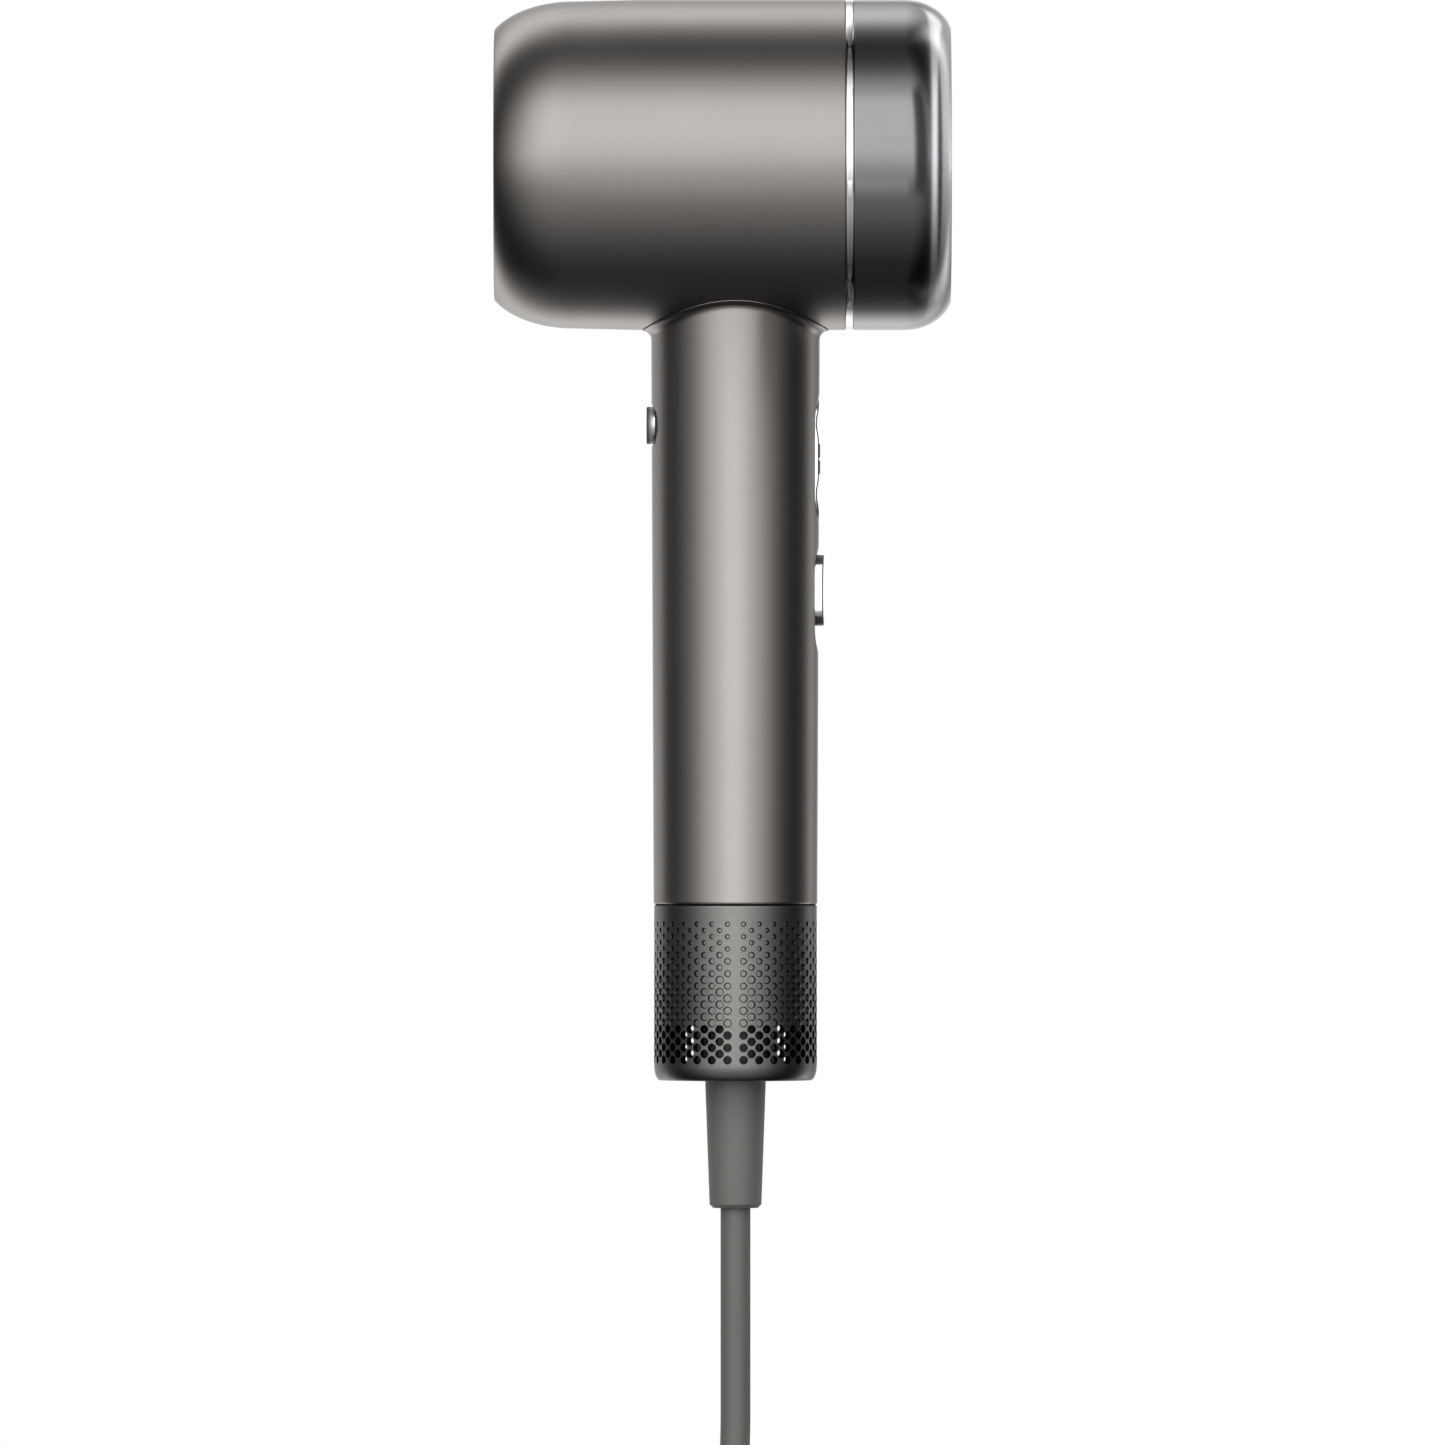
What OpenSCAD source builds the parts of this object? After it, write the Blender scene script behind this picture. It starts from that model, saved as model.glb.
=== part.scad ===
// Compact hair dryer with its motor in the handle.
// The origin is on the handle's axis, at the underside of the barrel. +Z is up and
// the air leaves the barrel towards -X. Air comes in through the perforated sleeve
// at the foot of the handle, and the controls face +X.

/* [Barrel] */
// Radius of the barrel
barrel_r = 37.5; // [36:0.25:40]
// Handle axis to the flat front face
barrel_front = 54.8; // [53:0.2:62]
// How much slimmer the barrel gets towards the front
barrel_crown = 0.35; // [0:0.05:0.6]
// How far the front shoulder draws in to the flat front face
front_drop = 6.8; // [6:0.1:7.2]
// Length of the rounded front shoulder
front_shoulder = 18; // [14:0.5:22]
// Wall of the barrel and of the rear cap
head_wall = 2; // [1.6:0.1:2.2]
// Wall behind the flat front face
face_wall = 2.5; // [2:0.1:3]

/* [Trim ring and rear cap] */
// Handle axis to the trim ring
ring_x = 24.95; // [24:0.05:28]
// Width of the trim ring
ring_w = 1.85; // [1.4:0.05:3]
// Groove cut into each edge of the trim ring
ring_edge = 0.15; // [0.1:0.05:0.3]
// Length of the rear cap
cap_len = 22.1; // [20:0.1:26]
// How far the rear cap's shoulder draws in to its flat edge
cap_drop = 6.2; // [5:0.1:7]
// Length of the rear cap's rounded shoulder
cap_shoulder = 10.5; // [8:0.5:13]
// How far the rear cap reaches into the barrel
spigot_len = 5; // [3:0.5:8]
// How much slimmer the round rear panel is than the barrel
panel_inset = 10.5; // [9.5:0.5:13.5]
// How far the rear panel's middle stands proud
panel_proud = 0.2; // [0.1:0.05:0.6]
// Thickness of the rear panel at its edge
panel_t = 1.4; // [1:0.1:2]

/* [Outlet and heater] */
// Space between the heater tube and the outside of the barrel
duct_gap = 12.5; // [12:0.25:14.5]
// Wall of the heater tube
duct_wall = 0.8; // [0.6:0.1:1.2]
// Wall of the moulded air guide and outlet ring
guide_wall = 1.4; // [1.2:0.1:1.6]
// How far the outlet ring lies behind the front face
outlet_inset = 0.3; // [0:0.1:1]
// Depth of the seat that a nozzle plugs into
nozzle_depth = 4.8; // [4:0.2:6]
// Width of the ledge at the bottom of the nozzle seat
nozzle_ledge = 1.2; // [1:0.1:2]
// Radial width of the ring magnet
magnet_w = 2.3; // [1.5:0.1:2.6]
// Thickness of the ring magnet
magnet_t = 3; // [2:0.1:3.4]
// Thickness of the outlet grille
grille_t = 1.6; // [1.2:0.1:2.4]
// Number of spokes in the outlet grille
grille_spokes = 8; // [5:1:12]
// Number of rings between the grille's hub and its rim
grille_rings = 4; // [2:1:6]
// Length of the heater's crossed boards
heater_len = 33; // [28:1:34]
// Spacing of the heating wires along the barrel
wire_pitch = 4; // [3:0.5:5]
// Radius of the heating wire
wire_r = 0.5; // [0.3:0.05:0.7]

/* [Handle] */
// Radius of the handle at its top
handle_top_r = 19.15; // [19:0.05:20.5]
// How much slimmer the handle gets towards its lower end
handle_taper = 0.55; // [0.15:0.05:0.75]
// Length of the handle shell below the barrel
handle_len = 130.4; // [128:0.2:150]
// Wall of the handle at its lower end
handle_wall = 1.4; // [1.2:0.05:1.6]
// Radius of the fillet where the handle meets the barrel
neck_fillet = 2; // [1:0.1:3]
// Depth of the milled flats
flat_depth = 1.1; // [0.85:0.05:1.25]
// Radius of the cutter that milled the flats
flat_cutter_r = 19; // [14:0.5:24]

/* [Controls] */
// Height of the control pad's middle below the barrel
pad_z = 29.35; // [28:0.05:32]
// Length of the control pad
pad_len = 28.5; // [27:0.1:29]
// Width of the control pad
pad_w = 11; // [10.2:0.1:11.4]
// Distance from the pad's middle to each of its buttons
pad_button_z = 8; // [7.8:0.1:8.4]
// Radius of the pad's buttons
pad_button_r = 4.1; // [3.6:0.1:4.2]
// Travel of the pad's buttons
pad_travel = 0.8; // [0.4:0.1:0.9]
// Height of the power slider's middle below the barrel
slider_z = 59.15; // [58:0.05:60]
// Length of the power slider's knob
slider_len = 16.1; // [15.9:0.1:18]
// Width of the power slider's knob
slider_w = 8; // [7:0.1:9]
// Height of the power slider's knob over the flat
slider_h = 2.1; // [1.6:0.1:3]
// Travel of the power slider
slider_travel = 4.8; // [3.6:0.1:5.2]
// Height of the cool button's middle below the barrel
cool_z = 21.7; // [20:0.1:24]
// Radius of the cool button
cool_r = 4.25; // [3.8:0.05:4.5]
// Height of the cool button's face over the handle
cool_h = 1.2; // [1:0.05:1.8]
// Travel of the cool button
cool_travel = 1.2; // [0.6:0.1:1.3]
// Depth of the scoop round the cool button
scoop_depth = 1.5; // [1:0.05:1.6]
// Radius of the cutter that milled the scoop
scoop_cutter_r = 9.2; // [8:0.1:12]

/* [Motor] */
// Height of the motor's lower end over the end of the handle
motor_lift = 6.4; // [6:0.1:8]
// Length of the motor housing
motor_len = 36; // [35:0.5:38]
// Thickness of the motor's rubber mounts
mount_w = 2.2; // [1.8:0.1:2.6]
// Radius of the motor's shaft
shaft_r = 1.5; // [1.25:0.05:2]
// Outer radius of the shaft's bearings
bearing_r = 4; // [3.5:0.1:4.5]
// Number of impeller blades
blades = 11; // [7:2:13]
// Number of fixed guide vanes
vanes = 9; // [6:1:10]

/* [Inlet] */
// How much slimmer the perforated sleeve is than the end of the handle
sleeve_step = 0.1; // [0.05:0.05:0.3]
// Wall of the perforated sleeve
sleeve_wall = 1.1; // [0.9:0.05:1.2]
// Length of the perforated sleeve
sleeve_len = 39.75; // [39:0.25:46]
// Seam between the handle and the sleeve
sleeve_seam = 0.35; // [0.2:0.05:0.6]
// Width of the rounded edge at the sleeve's foot
foot_edge_w = 1.4; // [0.8:0.1:2]
// Height of the rounded edge at the sleeve's foot
foot_edge_h = 3.5; // [2:0.1:4]
// Radius of the inlet holes
inlet_hole_r = 1; // [0.7:0.05:1]
// Number of staggered half columns of holes round the sleeve
inlet_columns = 64; // [48:16:64]
// Distance between two rows of holes
inlet_pitch = 1.4; // [1.35:0.05:1.6]
// Number of rows of holes
inlet_rows = 6; // [4:1:8]
// Height of the lowest row of holes above the sleeve's foot
inlet_base = 4.8; // [4.8:0.1:6]
// Radius of the core that the cord runs through
core_r = 8.85; // [8.6:0.05:9.5]
// Travel of the sleeve until it is clear of the core
sleeve_travel = 45; // [41:1:48]

/* [Cord] */
// Diameter of the cord
cord_d = 6.8; // [6.4:0.1:7]
// Radius of the strain relief where it leaves the handle
relief_top_r = 6.9; // [6.4:0.1:7.4]
// Radius of the strain relief at its tip
relief_tip_r = 5.9; // [5:0.1:6.2]
// Length of the strain relief
relief_len = 29; // [26:0.5:32]

/* [Plug] */
// Radius of the plug's pins
pin_r = 2.4; // [2.4:0.05:2.4]
// Distance between the plug's pins
pin_spacing = 19; // [19:0.1:19]
// Length of the plug's pins
pin_len = 19; // [19:0.1:19]

/* [Hidden] */

$fn = 96;

// Clearances: glued or stacked faces, parts that slip together, parts that move
glue_gap = 0.05;
fit_gap = 0.15;
run_gap = 0.3;
press_gap = 0.02;
// Overlap that lets a cutting shape run past the face it cuts, and the length of one
// that cuts outwards through a wall
past = 1;
cut_len = 6;

// Barrel stations
front_x = -barrel_front;
barrel_inner_r = barrel_r - head_wall;
front_face_r = barrel_r - front_drop;
cap_face_r = barrel_r - cap_drop;
panel_r = barrel_r - panel_inset;
ring_end_x = ring_x + ring_w;
cap_back_x = ring_end_x + cap_len;
// The barrel is a true cylinder where the handle joins it
neck_zone = handle_top_r + neck_fillet + past;
front_shoulder_cut = 0.9;
cap_shoulder_cut = 0.95;
shoulder_steps = 20;
duct_r = barrel_r - duct_gap;

// Outlet stations
sleeve_ring_r = duct_r + fit_gap + guide_wall;
nozzle_r = duct_r - nozzle_ledge;
outlet_x = front_x + outlet_inset;
grille_x = outlet_x + nozzle_depth + glue_gap;
tube_x = grille_x + grille_t + glue_gap;
magnet_x = front_x + face_wall + glue_gap;
flange_x = magnet_x + magnet_t + glue_gap;
flange_t = 2;
outlet_sleeve_len = 6;
mouth_chamfer = 0.6;
magnet_in_r = sleeve_ring_r + fit_gap;
magnet_out_r = magnet_in_r + magnet_w;
grille_hub_r = 4.4;
grille_rim_w = 1.9;
grille_bar = 0.8;
emitter_seat_w = 1.1;
emitter_wall = 0.7;
emitter_lip = 1.4;
needle_tip_r = 0.15;
needle_root_r = 0.6;

// Air guide: a tube with a domed back, centred on the crossing of the two axes
guide_lap = 4;
guide_x = -20;
tube_end_x = guide_x + guide_lap;
duct_in_r = duct_r - duct_wall;
post_r = 3;
post_circle_r = 20;
post_angles = [60, 180, 300];
screw_r = 1.3;
screw_len = 9;
screw_head_r = 2.8;
screw_head_t = 1.2;
cap_floor = 2.6;
cap_rib_len = 8;
cap_seat_x = cap_back_x - panel_t - panel_proud - glue_gap;
cap_wall_x = cap_seat_x - cap_floor;
ion_x = -17;
ion_len = 22;
ion_w = 16;
ion_h = 5.95;

// Heater
heater_inset = 2;
heater_x = tube_x + heater_inset;
board_t = 1;
heater_half = duct_in_r - run_gap;
wire_rows = [duct_in_r * 0.5, duct_in_r * 0.78];
wire_inset = 3;
wire_end = 10;
wires = floor((heater_len - wire_inset - wire_end) / wire_pitch) + 1;
wire_x = heater_x + wire_inset;
cutout_r = 4;
cutout_h = 2.2;
cutout_cap_r = 2.6;
cutout_cap_h = 3;
cutout_inset = 4.5;
bead_r = 1.2;
bead_len = 2.6;
bead_x = 0.5;
bead_lead_r = 0.25;
bead_lead_gap = 1;
bead_z = duct_in_r * 0.64;
cutout_z = bead_z - bead_r - cutout_r - run_gap;

// Neck: a duct with a collar under a ledge in the handle, pulled up by a nut in the barrel
handle_end_r = handle_top_r - handle_taper;
handle_bore_r = handle_end_r - handle_wall;
insert_r = handle_bore_r - fit_gap;
neck_step = 0.85;
neck_r = insert_r - neck_step;
neck_bore_r = neck_r - guide_wall;
ledge_z = -6;
collar_len = 6;
nut_w = 3.3;
nut_r = neck_r + nut_w;
nut_z = barrel_r - sqrt(pow(barrel_inner_r, 2) - pow(nut_r, 2)) + glue_gap;
nut_top_z = barrel_r - sleeve_ring_r - run_gap - fit_gap;
barrel_seam = 0.1;
flare_sink = 0.12;
flare_top = 1.5;

// Control stations, as distances from the handle's axis
flat_x = handle_top_r - flat_depth;
button_depth = 3.05;
flange_in_x = flat_x - button_depth;
board_depth = 5.5;
pcb_x = flange_in_x - board_depth;
pcb_t = 1.6;
pcb_top_x = pcb_x + pcb_t;
carrier_wall = 1.05;
carrier_in_r = insert_r - carrier_wall;
carrier_top = ledge_z - collar_len - run_gap;
pcb_half = sqrt(pow(carrier_in_r, 2) - pow(pcb_top_x, 2)) - run_gap;
switch_h = 2.5;
switch_w = 6;
switch_well = 1.7;
well_gap = 0.2;
button_flange_t = 0.9;
button_flange_w = 0.8;
button_hole_r = pad_button_r + fit_gap;
stem_r = 1.6;
stem_sink = 0.1;
stem_foot = 1.8;
stem_foot_x = pcb_top_x + stem_foot;
// Heights of the pad's buttons, and the ends of the two milled flats
button_z = [-pad_z - pad_button_z, -pad_z + pad_button_z];
pad_flat_run = 0.6;
pad_flat_top = -pad_z + pad_len / 2 + pad_flat_run;
pad_flat_end = -pad_z - pad_len / 2 - pad_flat_run;
slider_flat_run = 2.2;
slider_flat_top = -slider_z + slider_len / 2 + slider_flat_run;
slider_flat_end = -slider_z - slider_len / 2 - slider_travel - slider_flat_run;
pad_h = 0.9;
pad_top_x = flat_x + pad_h;
pad_dip = 0.45;
pad_dip_len = 4.15;
lens_t = 0.3;
lens_w = 4;
lens_len = 3.1;
lens_gap = 0.6;

// Power slider: a knob in a shallow pocket, a stem through a slot and a foot inside
slider_stem = 4;
slider_stem_w = 3.6;
slider_dish = 0.3;
knob_gap = 0.25;
knob_lap = 0.4;
foot_t = 1.3;
foot_w = 8.4;
foot_len = 10;
foot_lift = 0.4;
foot_x = flange_in_x - foot_lift;
pocket_wall = 0.55;
pocket_x = handle_bore_r + pocket_wall;
lever_w = 1.8;
lever_len = 2;
lever_h = 0.6;
power_switch_w = 6.4;
power_switch_end = 5.3;
power_switch_floor = 1;

// Board carrier: a tube with ledges for the boards and windows for the controls
board_inset = 2;
board_drop = 1.7;
ledge_t = 1.3;
ledge_lap = 0.8;
cool_ledge_lap = 1.2;
window_depth = 1.4;
window_side = 1.5;
window_half = pad_button_r + button_flange_w + window_side;
window_top_gap = 1.2;
window_end_gap = 3;
cool_window = 7;
carrier_lift = 1.6;
carrier_end = slider_flat_end + carrier_lift;
capacitor_r = 4;
capacitor_len = 14;
choke_r = 4;
choke_h = 6;
triac_h = 3;
triac_w = 10;
triac_len = 12;
chip_h = 1.4;
chip_w = 8;
chip_len = 8;

// Cool button
cool_board_depth = 4.6;
cool_pcb_x = flange_in_x - cool_board_depth;
cool_pcb_t = 1.2;
cool_pcb_len = 17;
cool_pcb_top = cool_pcb_x + cool_pcb_t;
cool_pcb_half = sqrt(pow(carrier_in_r, 2) - pow(cool_pcb_top, 2)) - run_gap;
cool_switch_h = 2;
cool_face_x = handle_top_r + cool_h;
cool_hole_r = cool_r + run_gap + fit_gap + glue_gap;
cool_flange_w = 0.95;
cool_stem = 1.5;
cool_edge = 0.2;
cool_flat_r = 2.5;
seal_depth = 0.6;
seal_h = 0.7;
scoop_x = handle_top_r - scoop_depth;

// Motor stations
motor_r = handle_bore_r - mount_w;
motor_end = -handle_len + motor_lift;
motor_top = motor_end + motor_len;
housing_wall = 1.1;
housing_in_r = motor_r - housing_wall;
channel_w = 4.5;
hub_r = housing_in_r - channel_w;
hub_wall = 1;
hub_drop = 2;
hub_top = motor_top - hub_drop;
hub_len = 22;
hub_end = hub_top - hub_len;
vane_len = 12;
vane_sweep = -4;
vane_t = 0.8;
bearing_h = 3;
bearing_inset = 0.6;
bearing_play = 0.1;
shaft_hole_gap = 0.4;
stator_len = 10;
stator_mid = (hub_top + hub_end) / 2;
stator_bore_r = hub_r - channel_w;
yoke_w = 1.6;
tooth_w = 1.6;
coil_w = 3;
coil_end = 1;
rotor_r = stator_bore_r - run_gap;
mount_h = 8;
mount_inset = 1;
mount_groove_r = 0.8;
impeller_gap = 1.5;
impeller_top = hub_end - impeller_gap;
impeller_h = 9;
impeller_hub_r = 6;
impeller_nose = 5;
impeller_floor = 1.5;
blade_h = 6.4;
blade_drop = 0.6;
blade_sweep = 4.5;
blade_t = 0.7;
blade_bow = 1.1;
blade_tip_gap = 0.4;
blade_tip_r = housing_in_r - blade_tip_gap;
shaft_run = 0.03;
shaft_press = 0.01;
shaft_drop = 0.2;
motor_board_t = 1.2;

// Inlet stations
handle_end = -handle_len;
sleeve_top = handle_end - sleeve_seam;
sleeve_end = sleeve_top - sleeve_len;
sleeve_r = handle_end_r - sleeve_step;
sleeve_in_r = sleeve_r - sleeve_wall;
sleeve_floor = 1.6;
core_lift = 4.4;
core_drop = 3.2;
core_top = handle_end + core_lift;
core_collar_end = handle_end - core_drop;
core_ring_w = 3.6;
core_ring_r = insert_r - core_ring_w;
core_wall = 1.45;
core_bore_r = core_r - core_wall;
core_foot = 12.5;
core_floor_top = sleeve_end + core_foot;
spoke_w = 2;
socket_r = 6;
socket_len = 10.5;
socket_top = sleeve_end + socket_len;
cover_ring_t = 0.8;
cover_magnet_r = 1.2;
cover_magnet_h = 3;
guard_t = 1.2;
guard_bar = 0.6;
guard_rings = 4;
clamp_h = 7.9;
clamp_slot = 0.8;
clamp_screw_x = 5.3;
clamp_screw_r = 1;
clamp_screw_len = 7.4;
clamp_top = core_floor_top + glue_gap + clamp_h;
cord_r = cord_d / 2;
relief_end = sleeve_end - relief_len;
relief_edge = 0.8;
cord_end_len = 2;

// Cord. The lead hangs straight, turns onto the surface and joins the coil.
table_z = -300;
tie_t = 0.8;
coil_centre = [-5, 67];
coil_turn = 6.9;
coil_in_r = 30;
coil_columns = 4;
coil_z = -295.7;
coil_out_r = coil_in_r + (coil_columns - 1) * coil_turn;
tie_at = 35;
tie_angle = 15;
plug_x = -65;
plug_rear_y = 36;
plug_z = -291;
plug_width = 35;
plug_height = 2 * (plug_z - table_z) - 2 * glue_gap;
plug_body_len = 24;
plug_neck_len = 12;
boot_len = 22;
boot_r = 6;
boot_tip_r = 4.6;
boot_lap = 2;
boot_step = 0.1;
plug_face_y = plug_rear_y - boot_len - plug_neck_len - plug_body_len;
pin_root = 12;
pin_root_r = 2;
pin_tip = 1.2;
pin_tip_cut = 0.9;
lead_route = [[0, 0, relief_end], [0, 0, -215], [0, 0, -231], [0, 0, -247], [0, 0, -260],
    [2, 2, -273], [7, 7, -284.5], [15, 15, -292.5], [24, 24, -295.4], [31, 31, -295.7]];
tail_route = [[-26.5, 113.5, -288.8], [-34.5, 109.8, -288.8], [-43.5, 105.5, -289.6],
    [-51.5, 99.5, -292.1], [-58.5, 92, -294.7], [-63, 82.5, -295.8], [-65, 72, -295.7],
    [-65, 62, -295.2], [-65, 54, -293.7], [-65, 46, -291.9], [-65, 41, -291],
    [plug_x, plug_rear_y, plug_z]];

// Colours of the finishes
titanium = "#8d8784";
graphite = "#3a3a3c";
chrome = "#e4e4e4";
silver = "#c8c8c6";
charcoal = "#4b4b4b";
cord_grey = "#6b6a67";
black_plastic = "#2a2a2b";
mica = "#c9b48a";
copper = "#a8623a";
board_green = "#2f5d43";

// ---------------------------------------------------------------- helpers

// Puts a shape's local Z along the barrel, so that a profile is [radius, x]
module along_barrel() {
    translate([0, 0, barrel_r]) rotate([0, 90, 0]) children();
}

// Puts a shape's local Z along +X at a height on the handle
module across_handle(x, z) {
    translate([x, 0, z]) rotate([0, 90, 0]) children();
}

// A tube or ring between two radii
module ring(outer, inner, h) {
    difference() {
        cylinder(r = outer, h = h);
        translate([0, 0, -past]) cylinder(r = inner, h = h + 2 * past);
    }
}

// A box given by its two corners
module box(low, high) {
    translate(low) cube(high - low);
}

// Part of an ellipse from the flat end face to the full radius, as [radius, x] points
function shoulder(face_x, length, face_r, body_r, cut) =
    let (f_max = asin(cut), drop = body_r - face_r)
    [for (i = [0:shoulder_steps]) let (f = f_max * (1 - i / shoulder_steps))
        [body_r - drop * (1 - cos(f)) / (1 - cos(f_max)), face_x + length * (1 - sin(f) / cut)]];

// A list in the other order
function reversed(list) = [for (i = [len(list) - 1:-1:0]) list[i]];

// Half of the air guide's outline: a rectangle for the tube and a quarter disc for the dome
module guide_outline(r, front) {
    translate([0, front]) square([r, -front]);
    intersection() {
        circle(r = r);
        square([r, r]);
    }
}

// Outline with round ends, long along Y
module stadium(w, length) {
    for (side = [-1, 1])
        translate([0, side * (length - w) / 2]) circle(d = w);
    square([w, length - w], center = true);
}

// Space that the round cutter clears between two heights, as seen along +Y
module milled_space(top, bottom, floor_x) {
    depth = handle_top_r - floor_x;
    run_out = sqrt(2 * flat_cutter_r * depth - depth * depth);
    length = top - bottom - 2 * run_out;
    rotate([90, 0, 0]) linear_extrude(2 * handle_top_r, center = true) {
        translate([floor_x + flat_cutter_r, (top + bottom) / 2])
            stadium(2 * flat_cutter_r, length + 2 * flat_cutter_r);
    }
}

// ------------------------------------------------------------------- head

module head_shell() {
    outer = shoulder(front_x, front_shoulder, front_face_r, barrel_r - barrel_crown,
        front_shoulder_cut);
    inner = shoulder(front_x + face_wall, front_shoulder - face_wall,
        front_face_r - 0.6 * head_wall, barrel_inner_r - barrel_crown, front_shoulder_cut);
    color(titanium) difference() {
        along_barrel() rotate_extrude()
            polygon(concat(
                [[sleeve_ring_r + fit_gap, front_x]], outer,
                [[barrel_r, -neck_zone], [barrel_r, ring_x], [barrel_inner_r, ring_x],
                    [barrel_inner_r, -neck_zone]],
                reversed(inner),
                [[sleeve_ring_r + fit_gap, front_x + face_wall]]));
        cylinder(r = neck_r + fit_gap, h = barrel_r);
    }
}

module trim_ring() {
    x1 = ring_x + glue_gap;
    x2 = ring_end_x - glue_gap;
    color(chrome) along_barrel() rotate_extrude()
        polygon([[barrel_inner_r, x1], [barrel_r - ring_edge, x1], [barrel_r, x1 + ring_edge],
            [barrel_r, x2 - ring_edge], [barrel_r - ring_edge, x2], [barrel_inner_r, x2]]);
}

module rear_cap() {
    spigot_r = barrel_inner_r - fit_gap;
    spigot_x = ring_x - spigot_len;
    outer = shoulder(cap_back_x, -cap_shoulder, cap_face_r, barrel_r, cap_shoulder_cut);
    color(graphite) difference() {
        along_barrel() rotate_extrude()
            polygon(concat(
                [[spigot_r - head_wall, spigot_x], [spigot_r, spigot_x], [spigot_r, ring_end_x],
                    [barrel_r, ring_end_x]],
                reversed(outer),
                [[panel_r + fit_gap, cap_back_x], [panel_r + fit_gap, cap_seat_x],
                    [0, cap_seat_x], [0, cap_wall_x], [panel_r, cap_wall_x],
                    [spigot_r - head_wall, cap_wall_x - cap_rib_len]]));
        for (a = post_angles)
            along_barrel() rotate([0, 0, a]) translate([post_circle_r, 0, cap_wall_x - past]) {
                cylinder(r = screw_r + fit_gap, h = cap_floor + 2 * past);
                translate([0, 0, past + cap_floor - screw_head_t - fit_gap])
                    cylinder(r = screw_head_r + fit_gap, h = screw_head_t + past);
            }
    }
}

// A shallow dome that is flush with the cap's edge two thirds of the way out
module rear_panel() {
    flush_r = panel_r * 2 / 3;
    steps = 12;
    color(graphite) along_barrel() rotate_extrude()
        polygon(concat(
            [[0, cap_seat_x], [panel_r, cap_seat_x]],
            [for (i = [steps:-1:0]) let (r = panel_r * i / steps)
                [r, cap_back_x + panel_proud * (1 - pow(r / flush_r, 2))]]));
}

module cap_screws() {
    color(silver) for (a = post_angles)
        along_barrel() rotate([0, 0, a]) translate([post_circle_r, 0, cap_seat_x - fit_gap]) {
            translate([0, 0, -screw_head_t]) cylinder(r = screw_head_r, h = screw_head_t);
            translate([0, 0, -screw_head_t - screw_len]) cylinder(r = screw_r, h = screw_len);
        }
}

module outlet_ring() {
    back_x = flange_x + flange_t + outlet_sleeve_len;
    tube_seat_r = duct_r + fit_gap;
    color(black_plastic) along_barrel() rotate_extrude()
        polygon([[nozzle_r + mouth_chamfer, outlet_x], [sleeve_ring_r, outlet_x],
            [sleeve_ring_r, flange_x], [magnet_out_r, flange_x],
            [magnet_out_r, flange_x + flange_t], [sleeve_ring_r, flange_x + flange_t],
            [sleeve_ring_r, back_x], [tube_seat_r, back_x],
            [tube_seat_r, outlet_x + nozzle_depth], [nozzle_r, outlet_x + nozzle_depth],
            [nozzle_r, outlet_x + mouth_chamfer]]);
}

module nozzle_magnet() {
    color(silver) along_barrel() translate([0, 0, magnet_x])
        ring(magnet_out_r, magnet_in_r, magnet_t);
}

module outlet_grille() {
    step = (duct_r - grille_rim_w - grille_hub_r) / (grille_rings + 1);
    color(graphite) along_barrel() translate([0, 0, grille_x]) linear_extrude(grille_t)
        difference() {
            union() {
                difference() {
                    circle(r = duct_r - glue_gap);
                    circle(r = duct_r - grille_rim_w);
                }
                for (i = [1:grille_rings]) difference() {
                    circle(r = grille_hub_r + i * step);
                    circle(r = grille_hub_r + i * step - grille_bar);
                }
                circle(r = grille_hub_r);
                for (a = [0:360 / grille_spokes:359])
                    rotate(a) translate([0, -grille_bar / 2])
                        square([duct_r - grille_rim_w / 2, grille_bar]);
            }
            circle(r = grille_hub_r - emitter_seat_w);
        }
}

// A flanged cup in the grille's hub with the discharge needle in its middle
module ion_emitter() {
    cup_r = grille_hub_r - emitter_seat_w - fit_gap;
    color(silver) along_barrel() translate([0, 0, grille_x]) {
        difference() {
            cylinder(r = cup_r, h = grille_t + emitter_lip);
            translate([0, 0, -past]) cylinder(r = cup_r - emitter_wall, h = grille_t + past);
        }
        cylinder(r1 = needle_tip_r, r2 = needle_root_r, h = grille_t + stem_sink);
    }
}

module ion_module() {
    floor_z = barrel_r + sleeve_ring_r + glue_gap;
    color(black_plastic)
        box([ion_x, -ion_w / 2, floor_z], [ion_x + ion_len, ion_w / 2, floor_z + ion_h]);
}

module air_guide() {
    color(black_plastic) difference() {
        union() {
            along_barrel() rotate_extrude() guide_outline(sleeve_ring_r, guide_x);
            for (a = post_angles)
                along_barrel() rotate([0, 0, a]) translate([post_circle_r, 0, post_r])
                    cylinder(r = post_r, h = cap_wall_x - glue_gap - post_r);
        }
        along_barrel() rotate_extrude() guide_outline(duct_in_r, guide_x - past);
        along_barrel() translate([0, 0, guide_x - past])
            cylinder(r = duct_r + fit_gap, h = guide_lap + past + glue_gap);
        cylinder(r = neck_bore_r, h = barrel_r);
        for (a = post_angles)
            along_barrel() rotate([0, 0, a])
                translate([post_circle_r, 0, cap_wall_x - screw_len - past])
                    cylinder(r = screw_r + glue_gap, h = screw_len + 2 * past);
    }
}

module heater_tube() {
    color(mica) along_barrel() translate([0, 0, tube_x])
        ring(duct_r, duct_in_r, tube_end_x - tube_x);
}

// One winding of the heating wire
module wire_loop(row_r, x, r) {
    along_barrel() translate([0, 0, x]) rotate_extrude() translate([row_r, 0]) circle(r = r);
}

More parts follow.
